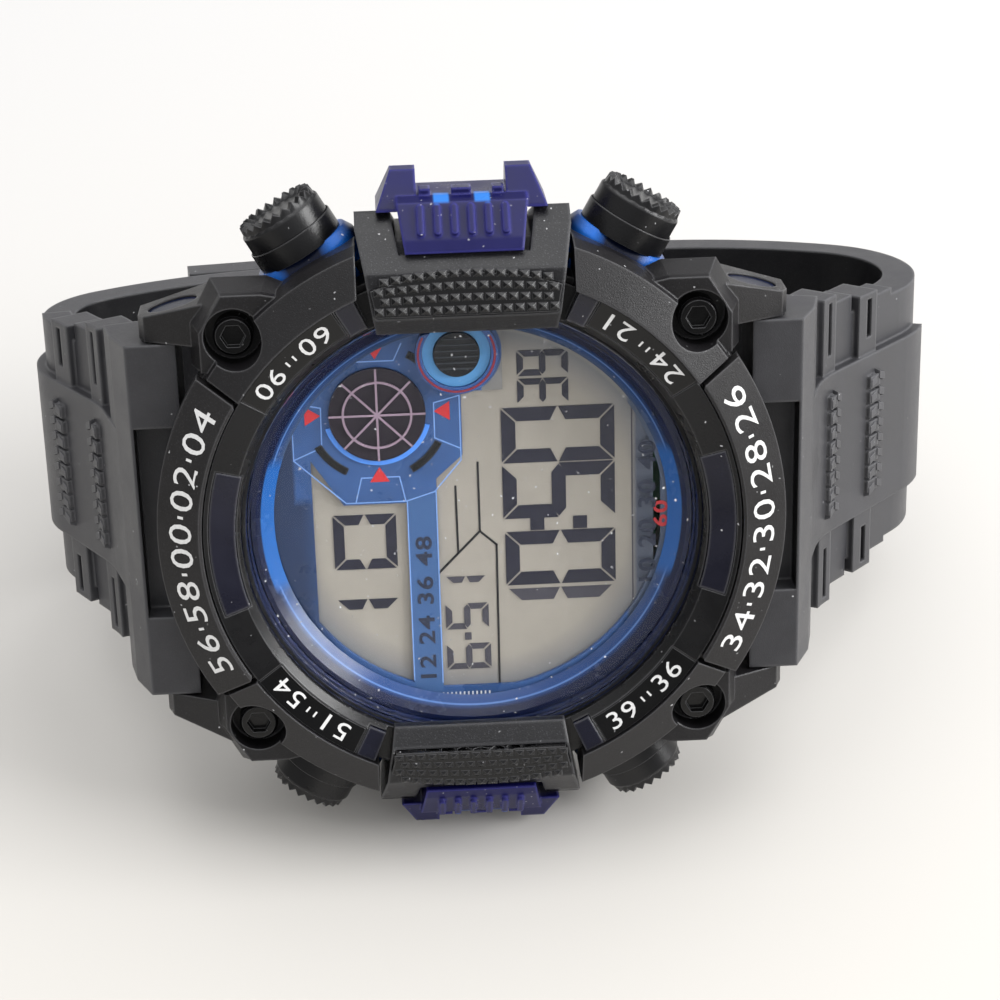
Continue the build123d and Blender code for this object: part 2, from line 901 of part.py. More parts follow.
with BuildPart() as bezel_ring:
    with BuildSketch(Plane.XZ):
        with BuildLine():
            Polyline(
                (ring_bore, ring_low),
                (ring_radius, ring_low),
                (ring_radius, ring_top_height),
                (ring_crest_radius, ring_crest_height),
                (ring_bore, ring_base_top),
                close=True,
            )
        make_face()
    revolve(axis=Axis.Z)
    for middle in (90, 270):
        step_profile = [
            (ring_bore - seat_gap, ring_base_top),
            (ring_radius + cut_over, ring_base_top),
            (ring_radius + cut_over, ring_top_height + cut_over),
            (ring_bore - seat_gap, ring_top_height + cut_over),
        ]
        half_gap = 90 - guard_tab_end
        add(sector(step_profile, middle - half_gap, middle + half_gap), mode=Mode.SUBTRACT)
    for start in plate_starts:
        end = start + plate_end - plate_start
        add(
            ring_seat(plate_inner - seat_gap, ring_radius + cut_over, start - gap_angle, end + gap_angle),
            mode=Mode.SUBTRACT,
        )
    for start in guard_tab_starts:
        end = start + guard_tab_end - guard_tab_start
        before, after = (gap_angle, cut_angle) if start in guard_tab_starts[::2] else (cut_angle, gap_angle)
        add(
            ring_seat(tab_inner - seat_gap, ring_radius + cut_over, start - before, end + after),
            mode=Mode.SUBTRACT,
        )
    for middle in (0, 180):
        start, end = middle - tab_half_angle, middle + tab_half_angle
        add(
            ring_seat(tab_inner - seat_gap, tab_outer + seat_gap, start - gap_angle, end + gap_angle),
            mode=Mode.SUBTRACT,
        )

with BuildPart() as label_plates:
    for start in plate_starts:
        add(sector(crest_slab(plate_inner, ring_radius, plate_depth - seat_gap, 0), start,
                   start + plate_end - plate_start))

with BuildPart() as ring_tabs:
    for start in guard_tab_starts:
        add(sector(crest_slab(tab_inner, ring_radius, plate_depth - seat_gap, 0), start,
                   start + guard_tab_end - guard_tab_start))
    for middle in (0, 180):
        add(sector(crest_slab(tab_inner, tab_outer, plate_depth - seat_gap, 0), middle - tab_half_angle,
                   middle + tab_half_angle))

# Guards
guard_profile = [
    (guard_lip_y, guard_under),
    (guard_lip_y, guard_lip_height),
    (guard_crest_y, guard_crest_height),
    (guard_brow_y, guard_brow_height),
    (guard_slope_y, guard_slope_height),
    (guard_flank_y, guard_flank_height),
    (guard_heel_y, guard_low),
    (guard_lip_y, guard_low),
]
grip_tilt = atan2(guard_crest_height - guard_brow_height, guard_brow_y - guard_crest_y)
grip_plane = Plane(
    origin=(0, guard_crest_y, guard_crest_height),
    x_dir=(1, 0, 0),
    z_dir=(0, sin(grip_tilt), cos(grip_tilt)),
)


def grip_outline(gap):
    """Outline of the grip panel in its own plane: straight inside, arched outside."""
    with BuildLine() as outline:
        Polyline(
            (grip_corner_half + gap, grip_corner_reach),
            (grip_half + gap, -gap),
            (-grip_half - gap, -gap),
            (-grip_corner_half - gap, grip_corner_reach),
        )
        ThreePointArc(
            (-grip_corner_half - gap, grip_corner_reach),
            (0, grip_reach + gap),
            (grip_corner_half + gap, grip_corner_reach),
        )
    return outline.line


def insert_front(half_top, half_foot, foot_y, low, high):
    """Prism with the insert's tapered front, wider towards the flank."""
    with BuildPart() as front:
        with BuildSketch(Plane.XY.offset(low)):
            with BuildLine():
                Polyline(
                    (half_foot, foot_y),
                    (half_top, insert_brow_y),
                    (half_top, ear_tip_y + cut_over),
                    (-half_top, ear_tip_y + cut_over),
                    (-half_top, insert_brow_y),
                    (-half_foot, foot_y),
                    close=True,
                )
            make_face()
        extrude(amount=high - low)
    return front.part


def insert_body(gap):
    """Side form of the insert, grown inwards by a gap."""
    with BuildPart() as body:
        with BuildSketch(Plane.YZ.offset(-ear_outer - gap)):
            with BuildLine():
                Polyline(
                    (insert_foot_y - gap, insert_toe_height - gap),
                    (insert_back_y - gap, insert_back_height - gap),
                    (insert_back_y - gap, insert_heel - gap),
                    (insert_low_y + gap, insert_heel - gap),
                    (insert_top_y + gap, insert_low),
                    (insert_top_y + gap, insert_top_height),
                    (insert_brow_y, insert_brow_height),
                    (insert_bend_y, insert_bend_height),
                    (insert_face_y, insert_face_height),
                    close=True,
                )
            make_face()
        extrude(amount=2 * (ear_outer + gap))
    return body.part


with BuildPart() as guard_top:
    with BuildSketch(Plane.YZ.offset(-guard_foot_half)):
        with BuildLine():
            Polyline(*guard_profile, close=True)
        make_face()
    extrude(amount=2 * guard_foot_half)
    with BuildSketch(Plane.XY):
        with BuildLine():
            Polyline(
                (guard_lip_half, guard_lip_y),
                (guard_brow_half, guard_brow_y),
                (guard_foot_half, guard_slope_y),
                (guard_foot_half, guard_flank_y),
                (-guard_foot_half, guard_flank_y),
                (-guard_foot_half, guard_slope_y),
                (-guard_brow_half, guard_brow_y),
                (-guard_lip_half, guard_lip_y),
                close=True,
            )
        make_face()
    extrude(amount=guard_crest_height, mode=Mode.INTERSECT)
    add(column(ring_seat_radius, 0, guard_under), mode=Mode.SUBTRACT)
    add(column(case_radius + seat_gap, 0, ring_low), mode=Mode.SUBTRACT)
    add(column(guard_wall_radius + seat_gap, 0, guard_shoulder + seat_gap), mode=Mode.SUBTRACT)
    add(collar_window(running_gap, collar_root), mode=Mode.SUBTRACT)
    with BuildSketch(grip_plane.offset(-grip_sunk)):
        add(grip_outline(seat_gap))
        make_face()
    extrude(amount=cut_over, mode=Mode.SUBTRACT)
    add(
        insert_body(seat_gap)
        & insert_front(recess_half, recess_foot_half, recess_foot_y, 0, guard_crest_height),
        mode=Mode.SUBTRACT,
    )

with BuildPart() as guard_bottom:
    mirror(guard_top.part, about=Plane.XZ)

# Grip panels, cut into small pyramids by two families of grooves
grip_groove_angle = atan2(grip_row, grip_pitch / 2)
grip_groove_spacing = grip_pitch * sin(grip_groove_angle)
grip_reach_along = grip_half + grip_reach


def groove_family(plane, turn, spacing, count, width, depth, length):
    """Parallel V grooves across a plane, turned from its Y axis."""
    across = plane.rotated((0, 0, turn))
    upright = Plane(origin=across.origin, x_dir=across.x_dir, z_dir=across.y_dir)
    with BuildPart() as grooves:
        with BuildSketch(upright):
            for number in range(count):
                middle = (number - (count - 1) / 2) * spacing
                with BuildLine():
                    Polyline(
                        (middle - width / 2, 0),
                        (middle - width / 2, -depth),
                        (middle + width / 2, -depth),
                        (middle + width / 2, 0),
                        (middle, depth),
                        close=True,
                    )
                make_face()
        extrude(amount=length, both=True)
    return grooves.part


with BuildPart() as grip_panel_top:
    with BuildSketch(grip_plane.offset(seat_gap - grip_sunk)):
        add(grip_outline(0))
        make_face()
    extrude(amount=grip_thickness)
    grip_face = grip_plane.offset(seat_gap - grip_sunk + grip_thickness)
    grip_count = 2 * int(grip_reach_along / grip_groove_spacing) + 1
    for turn in (-1, 1):
        add(
            groove_family(
                Plane(grip_face.location * Pos(0, grip_reach / 2, 0)),
                turn * (90 - degrees(grip_groove_angle)),
                grip_groove_spacing,
                grip_count,
                grip_groove_width,
                grip_groove_depth,
                cut_over,
            ),
            mode=Mode.SUBTRACT,
        )

with BuildPart() as grip_panel_bottom:
    mirror(grip_panel_top.part, about=Plane.XZ)


# Guard inserts: a ribbed pad on the slope and two ears on the flank
def insert_ear():
    """Ear standing on the flank, narrower towards its tip."""
    with BuildPart() as ear:
        with BuildSketch(Plane.YZ.offset(ear_inner)):
            with BuildLine():
                Polyline(
                    (ear_rest_y, ear_front_height),
                    (ear_tip_y, ear_tip_top),
                    (ear_tip_y, ear_tip_low),
                    (ear_heel_y, ear_heel),
                    (ear_heel_y, ear_tip_low),
                    (ear_rest_y, ear_tip_top),
                    close=True,
                )
            make_face()
        extrude(amount=ear_outer - ear_inner)
        with BuildSketch():
            with BuildLine():
                Polyline(
                    (ear_inner, ear_heel_y),
                    (ear_outer, ear_heel_y),
                    (ear_outer, ear_rest_y),
                    (ear_tip_outer, ear_tip_y),
                    (ear_inner, ear_tip_y),
                    close=True,
                )
            make_face()
        extrude(amount=ear_front_height, mode=Mode.INTERSECT)
    return ear.part


rib_plane = Plane(
    origin=(0, insert_bend_y, insert_bend_height),
    x_dir=(1, 0, 0),
    z_dir=(0, insert_bend_height - insert_brow_height, insert_brow_y - insert_bend_y),
)
rib_length = ((insert_brow_y - insert_bend_y) ** 2 + (insert_bend_height - insert_brow_height) ** 2) ** 0.5

with BuildPart() as guard_insert_top:
    add(
        insert_body(0)
        & insert_front(insert_brow_half, insert_foot_half, insert_foot_y, 0, guard_crest_height)
    )
    add(insert_ear())
    add(mirror(insert_ear(), about=Plane.YZ, mode=Mode.PRIVATE))
    with BuildSketch(rib_plane):
        with Locations((0, rib_length / 2)):
            with GridLocations(rib_pitch, 0, rib_count, 1):
                RectangleRounded(rib_width, rib_length - rib_width, rib_width * 0.4)
    extrude(amount=rib_rise)
    for place, width in zip(stud_places, stud_widths):
        add(
            block(
                (place - width / 2, place + width / 2),
                (insert_back_y, insert_top_y + stud_height),
                (insert_top_height - stud_drop, insert_top_height),
            )
        )

with BuildPart() as guard_insert_bottom:
    mirror(guard_insert_top.part, about=Plane.XZ)

# Glass, its gasket and the flange below
with BuildPart() as crystal:
    with BuildSketch(Plane.XY.offset(crystal_seat + seat_gap)):
        Circle(crystal_radius)
    extrude(amount=crystal_top - crystal_seat - seat_gap)
    chamfer(crystal.faces().sort_by(Axis.Z)[-1].edges(), crystal_edge)

with BuildPart() as crystal_gasket:
    with BuildSketch(Plane.XY.offset(crystal_seat + seat_gap)):
        Circle(crystal_bore_radius - seat_gap)
        Circle(crystal_radius + seat_gap, mode=Mode.SUBTRACT)
    extrude(amount=neck_top - crystal_seat - seat_gap)

flange_low = flange_seat + seat_gap
with BuildPart() as flange_ring:
    with BuildSketch(Plane.XZ):
        with BuildLine():
            Polyline(
                (flange_inner_radius, flange_low),
                (flange_radius, flange_low),
                (flange_radius, flange_top),
                (flange_top_radius, flange_top),
                close=True,
            )
        make_face()
    revolve(axis=Axis.Z)

# Dial mask with its two display windows
with BuildPart() as dial_mask:
    with BuildSketch(Plane.XY.offset(mask_low)):
        Circle(cavity_radius - running_gap)
    extrude(amount=mask_top - mask_low)
    with BuildSketch(Plane.XY.offset(mask_low)):
        Circle(mask_rim)
        with BuildLine():
            Polyline(
                (window_left, window_low),
                (strip_left, window_low),
                (strip_left, octagon_low),
                (octagon_left + octagon_cut, octagon_low),
                (window_left, octagon_low + octagon_cut),
                close=True,
            )
        make_face(mode=Mode.INTERSECT)
    extrude(amount=mask_top - mask_low, mode=Mode.SUBTRACT)
    with BuildSketch(Plane.XY.offset(mask_low)):
        Circle(mask_rim)
        with BuildLine():
            Polyline(
                (strip_right, window_low),
                (window_right, window_low),
                (window_right, mask_rim),
                (porthole_x + porthole_radius + air_gap, mask_rim),
                (porthole_x + porthole_radius + air_gap, porthole_y - porthole_radius),
                (octagon_right, porthole_y - porthole_radius),
                (octagon_right, octagon_low + octagon_cut),
                (strip_right, octagon_low + octagon_cut / 2),
                close=True,
            )
        make_face(mode=Mode.INTERSECT)
    extrude(amount=mask_top - mask_low, mode=Mode.SUBTRACT)

with BuildPart() as subdial_disc:
    with BuildSketch(Plane.XY.offset(mask_top + seat_gap)):
        with Locations((subdial_x, subdial_y)):
            Circle(subdial_radius)
    extrude(amount=subdial_thickness)
    with BuildSketch(Plane.XY.offset(mask_top + seat_gap + subdial_thickness)):
        with Locations((subdial_x, subdial_y)):
            for turn in (0, 45, 90, 135):
                Rectangle(2 * subdial_radius - air_gap, subdial_spoke, rotation=turn)
            Circle(subdial_radius - air_gap, mode=Mode.INTERSECT)
    extrude(amount=subdial_spoke)


def clipped(piece):
    """The piece inside the circle that the flange leaves free."""
    return piece & column(porthole_clip_radius, mask_low, neck_top)


with BuildPart() as porthole_ring:
    add(
        clipped(
            column(porthole_radius, mask_top + seat_gap, mask_top + porthole_thickness, porthole_x, porthole_y)
            - column(porthole_inner, mask_low, neck_top, porthole_x, porthole_y)
        )
    )

with BuildPart() as porthole_core:
    add(
        clipped(
            column(
                porthole_core_radius, mask_top + seat_gap, mask_top + porthole_thickness, porthole_x, porthole_y
            )
        )
    )

# Display, backlight and contact strips
with BuildPart() as lcd_panel:
    with BuildSketch(Plane.XY.offset(lcd_low)):
        Circle(lcd_radius)
        Rectangle(2 * lcd_half, 2 * lcd_radius, mode=Mode.INTERSECT)
    extrude(amount=lcd_top - lcd_low)

with BuildPart() as backlight_panel:
    with BuildSketch(Plane.XY.offset(glow_low)):
        Rectangle(2 * glow_half_x, 2 * glow_half_y)
    extrude(amount=glow_thickness)

with BuildPart() as contact_strips:
    with BuildSketch(Plane.XY.offset(board_top + seat_gap)):
        with GridLocations(2 * contact_strip_x, 0, 2, 1):
            Rectangle(contact_strip_width, contact_strip_length)
    extrude(amount=lcd_low - board_top - 2 * seat_gap)

# Module frame, board and what sits on it
with BuildPart() as module_frame:
    with BuildSketch(Plane.XY.offset(frame_low)):
        Circle(cavity_radius - air_gap)
    extrude(amount=frame_top - frame_low)
    with BuildSketch(Plane.XY.offset(board_low - seat_gap)):
        Circle(frame_wall_inner)
    extrude(amount=frame_top, mode=Mode.SUBTRACT)
    with BuildSketch(Plane.XY.offset(frame_low)):
        with Locations((0, battery_y)):
            Circle(battery_radius + running_gap)
    extrude(amount=battery_low + battery_thickness + seat_gap - frame_low, mode=Mode.SUBTRACT)
    with BuildSketch(Plane.XY.offset(frame_low)):
        with Locations((0, buzzer_spring_y)):
            Circle(buzzer_spring_radius + buzzer_spring_wire + air_gap)
    extrude(amount=frame_top, mode=Mode.SUBTRACT)
    for angle in pusher_angles.values():
        with BuildSketch(pusher_plane(angle, frame_wall_inner - air_gap)):
            Rectangle(2 * stem_radius + 2 * air_gap, 2 * (pusher_height - board_top))
        extrude(amount=cut_over, mode=Mode.SUBTRACT)

with BuildPart() as circuit_board:
    with BuildSketch(Plane.XY.offset(board_low)):
        Circle(board_radius)
    extrude(amount=board_thickness)

with BuildPart() as driver_chip:
    with BuildSketch(Plane.XY.offset(board_top + seat_gap)):
        with Locations((chip_x, chip_y)):
            Circle(chip_radius)
    extrude(amount=chip_height)
    fillet(driver_chip.faces().sort_by(Axis.Z)[-1].edges(), chip_height * 0.6)

with BuildPart() as quartz_crystal:
    can_height = board_top + seat_gap + crystal_can_radius
    with BuildSketch(Plane(origin=(crystal_can_x, crystal_can_y, can_height), z_dir=(0, 1, 0))):
        Circle(crystal_can_radius)
    extrude(amount=crystal_can_length)

with BuildPart() as board_components:
    with BuildSketch(Plane.XY.offset(board_top + seat_gap)):
        with Locations(*component_places):
            Rectangle(component_length, component_width)
    extrude(amount=component_height)

with BuildPart() as pusher_contacts:
    for angle in pusher_angles.values():
        with BuildSketch(pusher_plane(angle, leaf_radius - leaf_thickness / 2)):
            with Locations((0, (leaf_top + board_top + seat_gap) / 2 - pusher_height)):
                Rectangle(leaf_width, leaf_top - board_top - seat_gap)
        extrude(amount=leaf_thickness)
        with BuildSketch(pusher_plane(angle, leaf_radius - leaf_foot)):
            with Locations((0, board_top + seat_gap + leaf_thickness / 2 - pusher_height)):
                Rectangle(leaf_width, leaf_thickness)
        extrude(amount=leaf_foot)

# Coin cell and its clip
with BuildPart() as battery:
    with BuildSketch(Plane.XY.offset(battery_low)):
        with Locations((0, battery_y)):
            Circle(battery_radius)
    extrude(amount=battery_thickness)
    chamfer(battery.faces().sort_by(Axis.Z)[0].edges(), battery_edge)

with BuildPart() as battery_clip:
    with BuildSketch(Plane.XY.offset(clip_low)):
        with Locations((0, battery_y)):
            RectangleRounded(2 * clip_half_x, clip_width, clip_width * 0.3)
    extrude(amount=clip_plate)


# Pushers, each with a spring, an O-ring and a clip
def pusher(angle):
    """Hollow cap with a crown of small teeth, on a stem that reaches into the case."""
    with BuildPart() as button:
        with BuildSketch(pusher_plane(angle, cap_base)):
            Circle(cap_skirt_radius)
        extrude(amount=cap_head_base - cap_base)
        with BuildSketch(pusher_plane(angle, cap_head_base)):
            Circle(cap_radius)
        extrude(amount=cap_head_length)
        with BuildSketch(pusher_plane(angle, cap_reach - crown_depth - cap_rim)):
            Circle(cap_radius + cut_over)
            Circle(cap_radius, mode=Mode.SUBTRACT)
        extrude(amount=crown_depth + cap_rim, taper=-45, mode=Mode.SUBTRACT)
        with BuildSketch(pusher_plane(angle, cap_base)):
            Circle(cap_pocket_radius)
        extrude(amount=cap_pocket_end - cap_base, mode=Mode.SUBTRACT)
        with BuildSketch(pusher_plane(angle, stem_end)):
            Circle(stem_radius)
        extrude(amount=cap_pocket_end - stem_end)
        with BuildSketch(pusher_plane(angle, clip_pocket_floor - clip_thickness - 2 * seat_gap)):
            Circle(stem_radius)
            Circle(clip_groove_radius, mode=Mode.SUBTRACT)
        extrude(amount=clip_thickness + 2 * seat_gap, mode=Mode.SUBTRACT)
        for number in range(crown_groove_count):
            add(
                groove_family(
                    pusher_plane(angle, cap_reach),
                    180 * number / crown_groove_count,
                    crown_groove_width,
                    1,
                    crown_groove_width,
                    crown_depth,
                    cap_radius + cut_over,
                ),
                mode=Mode.SUBTRACT,
            )
    return button.part


def retaining_clip(angle):
    """Open ring in the stem's groove, inside the case wall."""
    with BuildPart() as clip:
        with BuildSketch(pusher_plane(angle, clip_pocket_floor - clip_thickness - seat_gap)):
            Circle(clip_radius)
            Circle(clip_groove_radius + seat_gap, mode=Mode.SUBTRACT)
            with Locations((0, -clip_radius)):
                Rectangle(2 * clip_groove_radius, 2 * clip_radius, mode=Mode.SUBTRACT)
        extrude(amount=clip_thickness)
    return clip.part


def pusher_spring(angle):
    """Coil round the stem, between the case and the bottom of the cap's pocket."""
    height = cap_pocket_end - cap_bore_floor - 2 * seat_gap
    place = pusher_plane(angle, cap_bore_floor + seat_gap).location
    return place * coil(spring_radius, spring_wire, height, spring_turns)


pushers = {}
pusher_clips = {}
pusher_springs = {}
for name, angle in pusher_angles.items():
    with BuildPart() as pushers[name]:
        add(pusher(angle))
    with BuildPart() as pusher_clips[name]:
        add(retaining_clip(angle))
    with BuildPart() as pusher_springs[name]:
        add(pusher_spring(angle))

with BuildPart() as pusher_o_rings:
    for angle in pusher_angles.values():
        add(pusher_plane(angle, o_ring_place).location * Torus(
            stem_radius + seat_gap + o_ring_wire, o_ring_wire, mode=Mode.PRIVATE))


# Strap: each half follows a run of straights and arcs in the side view
def run_of(side, first_run, flare_heading, corner_radius, corner_heading, reach):
    """Stretches of a half's inner face: length, start, heading and radius, turning inward if positive."""
    last_heading = -90 - back_slope * side
    turns = [
        (flare_heading, -flare_radius),
        (corner_heading, corner_radius),
        (last_heading, back_radius_of_curve),
    ]
    stretches = [(first_run, (band_start_x, band_start_z), band_start_heading, 0)]
    for heading, radius in turns:
        before = stretches[-1][2]
        stretches.append((abs(radians(heading - before) * radius), None, before, radius))
        stretches.append((0, None, heading, 0))
    return chained(stretches, side, reach)


def inward(heading):
    """Direction along the run and direction out of it, for a heading from straight down."""
    a = radians(heading)
    return (sin(a), -cos(a)), (cos(a), sin(a))


def step(stretch, way, out):
    """Point a way along a stretch and out from it."""
    length, start, heading, radius = stretch
    along, across = inward(heading)
    if radius == 0:
        return (start[0] + way * along[0] + out * across[0], start[1] + way * along[1] + out * across[1])
    turned_across = inward(heading - degrees(way / radius))[1]
    return tuple(start[i] - radius * across[i] + (radius + out) * turned_across[i] for i in (0, 1))


def chained(stretches, side, reach):
    """Stretches placed end to end, the one after the flare as long as it takes to meet the back line."""
    pivot = (side * pivot_x, pivot_z)
    flare_end = 2

    def placed(flare_run):
        chain = []
        start = stretches[0][1]
        for number, (length, _, heading, radius) in enumerate(stretches):
            size = flare_run if number == flare_end else length
            chain.append((size, start, heading, radius))
            start = step(chain[-1], size, 0)
        return chain, start

    def miss(flare_run):
        chain, end = placed(flare_run)
        across = inward(chain[-1][2])[1]
        return (end[0] - pivot[0]) * across[0] + (end[1] - pivot[1]) * across[1]

    first, second = miss(0), miss(band_start_x)
    chain, end = placed(-first * band_start_x / (second - first))
    along = inward(chain[-1][2])[0]
    to_pivot = (pivot[0] - end[0]) * along[0] + (pivot[1] - end[1]) * along[1]
    chain[-1] = (to_pivot + reach, *chain[-1][1:])
    return chain


class Band:
    """One half of the strap in the side view, mirrored for the side of 12 o'clock."""

    def __init__(self, side, chain):
        self.side = side
        self.chain = chain
        self.length = sum(stretch[0] for stretch in chain)

    def spots(self, start, end, out):
        """Stretch pieces between two places: end points and, on an arc, the middle point."""
        done = 0
        for stretch in self.chain:
            low, high = max(start - done, 0), min(end - done, stretch[0])
            if high - low > seat_gap / 100:
                ways = (low, (low + high) / 2, high)
                points = [step(stretch, way, out) for way in ways]
                yield [(self.side * x, z) for x, z in points], stretch[3]
            done += stretch[0]

    def edge(self, start, end, out):
        """Edges of a line that runs beside the inner face."""
        for (first, middle, last), radius in self.spots(start, end, out):
            if radius == 0:
                Line(first, last)
            else:
                ThreePointArc(first, middle, last)

    def at(self, place, out):
        """Point at a place along the half and out from its inner face."""
        spots = list(self.spots(place, self.length, out))
        if spots:
            return spots[0][0][0]
        return list(self.spots(0, self.length, out))[-1][0][-1]

    def slice(self, start, end, low, high, half, mode=Mode.ADD):
        """Solid slice of the band between two places, two depths and the same width both ways."""
        with BuildPart(mode=Mode.PRIVATE) as piece:
            with BuildSketch(Plane.XZ):
                with BuildLine():
                    self.edge(start, end, high)
                    self.edge(start, end, low)
                    Line(self.at(start, low), self.at(start, high))
                    Line(self.at(end, low), self.at(end, high))
                make_face()
            extrude(amount=half, both=True)
        return piece.part


def end_block(side):
    """End that fits between the horns, with a notch in front and a hole for the spring bar."""
    with BuildPart() as end:
        with BuildSketch(Plane.XZ):
            with BuildLine():
                Polyline(
                    (side * end_face_x, end_face_height),
                    (side * end_brow_x, end_face_height),
                    (side * end_edge_x, end_edge_height),
                    (side * (end_edge_x + band_thickness / 4), end_back_height),
                    (side * end_heel_x, end_heel_height),
                    (side * end_face_x, end_back_height),
                    close=True,
                )
            make_face()
        extrude(amount=band_end_half, both=True)
        with BuildSketch(Plane.XY.offset(end_notch_floor)):
            with Locations((side * (end_notch_reach - cut_over / 2), 0)):
                Rectangle(cut_over, 2 * end_notch_half)
        extrude(amount=cut_over, mode=Mode.SUBTRACT)
    return end.part


def side_view_hole(x, z, radius):
    """Hole across the strap, seen round from the side."""
    with BuildPart() as hole:
        with BuildSketch(Plane.XZ):
            with Locations((x, z)):
                Circle(radius)
        extrude(amount=band_end_half + cut_over, both=True)
    return hole.part


def relief(band):
    """Centre panel with rope-like rows and the stepped side blocks with slots."""
    with BuildPart() as raised:
        add(band.slice(0, panel_length, band_thickness / 2, band_thickness + panel_rise, panel_half))
        for row in rope_rows:
            for number in range(rope_count):
                middle = (number + 0.5 - rope_count / 2) * 2 * rope_half / rope_count
                lump = band.slice(
                    row,
                    row + rope_width,
                    band_thickness,
                    band_thickness + panel_rise + rope_rise,
                    rope_half / rope_count * 0.8,
                )
                add(Pos(0, middle, 0) * lump)
        for start, half, saddle in zip(side_block_starts, side_block_halves, side_saddle_halves):
            end = start + side_block_length
            rise = band_thickness + side_block_rise
            add(band.slice(start, end, seat_gap, rise, half))
            add(band.slice(end, end + side_block_length * 1.2, air_gap, band_thickness, saddle))
            slot_start = start + side_slot_start
            slot_end = slot_start + side_slot_length
            slot = band.slice(slot_start, slot_end, rise - side_slot_depth, rise + cut_over, half - side_slot_end)
            middle_part = band.slice(start, end, 0, rise + cut_over, side_slot_inner)
            add(slot - middle_part, mode=Mode.SUBTRACT)
    return raised.part


tail_band = Band(1, run_of(1, tail_first_run, tail_flare_heading, tail_corner_radius, tail_corner_heading,
                           -ramp_foot))
buckle_band = Band(-1, run_of(-1, buckle_first_run, buckle_flare_heading, buckle_corner_radius,
                              buckle_corner_heading, 0))
back_along, back_out = inward(-90 - back_slope)


def on_back(place, out):
    """Point on the back of the loop, counted from the buckle's pivot towards the tail's end."""
    return tuple(
        pivot + place * along + out * across
        for pivot, along, across in zip((pivot_x, pivot_z), back_along, back_out)
    )


def back_solid(points, half):
    """Prism across the strap with an outline given on the back of the loop."""
    with BuildPart() as prism:
        with BuildSketch(Plane.XZ):
            with BuildLine():
                Polyline(*[on_back(*point) for point in points], close=True)
            make_face()
        extrude(amount=half, both=True)
    return prism.part


def back_hole(start, length, half):
    """Rounded slot through the tail, square to the back of the loop."""
    middle = on_back(start + length / 2, 0)
    with BuildPart() as hole:
        with BuildSketch(
            Plane(origin=(middle[0], 0, middle[1]), x_dir=(back_along[0], 0, back_along[1]),
                  z_dir=(back_out[0], 0, back_out[1]))
        ):
            SlotOverall(length, 2 * half)
        extrude(amount=cut_over * 2, both=True)
    return hole.part


with BuildPart() as strap_buckle_half:
    add(end_block(-1))
    add(buckle_band.slice(0, buckle_band.length, 0, band_thickness, band_half))
    add(relief(buckle_band))
    with BuildSketch(Plane.XZ):
        with Locations(on_back(0, pivot_out)):
            Circle(pivot_out)
    extrude(amount=band_half, both=True)
    add(side_view_hole(*on_back(0, pivot_out), buckle_bar_radius + seat_gap), mode=Mode.SUBTRACT)
    add(side_view_hole(-spring_bar_x, spring_bar_z, spring_bar_radius + seat_gap), mode=Mode.SUBTRACT)
    add(
        back_solid(
            [
                (-cut_over, -cut_over),
                (prong_slot_foot - loop_end, -cut_over),
                (prong_slot_foot - loop_end, cut_over),
                (-cut_over, cut_over),
            ],
            prong_slot_half,
        ),
        mode=Mode.SUBTRACT,
    )

with BuildPart() as strap_tail_half:
    add(end_block(1))
    add(tail_band.slice(0, tail_band.length, 0, band_thickness, band_half))
    add(relief(tail_band))
    add(
        back_solid(
            [
                (-ramp_foot - seat_gap, 0),
                (-ramp_foot, 0),
                (-ramp_top, overlap_out),
                (tail_end, overlap_out),
                (tail_end, overlap_top),
                (-ramp_top - band_thickness / 4, overlap_top),
                (-ramp_foot - band_thickness / 4, band_thickness),
                (-ramp_foot - band_thickness / 2, band_thickness),
                (-ramp_foot - band_thickness / 2, 0),
            ],
            band_half,
        )
    )
    add(side_view_hole(spring_bar_x, spring_bar_z, spring_bar_radius + seat_gap), mode=Mode.SUBTRACT)
    for number in range(tail_hole_count):
        add(
            back_hole(tail_hole_start + number * tail_hole_pitch, tail_hole_length, tail_hole_half),
            mode=Mode.SUBTRACT,
        )


# Spring bars between the lugs
def spring_bar(x):
    """Bar with thin tips that sit in the lug arms."""
    with BuildPart() as bar:
        with BuildSketch(Plane.XZ):
            with Locations((x, spring_bar_z)):
                Circle(spring_bar_radius)
        extrude(amount=spring_bar_half, both=True)
        with BuildSketch(Plane.XZ):
            with Locations((x, spring_bar_z)):
                Circle(spring_tip_radius)
        extrude(amount=spring_tip_reach, both=True)
    return bar.part


with BuildPart() as spring_bar_6:
    add(spring_bar(spring_bar_x))

with BuildPart() as spring_bar_12:
    add(spring_bar(-spring_bar_x))

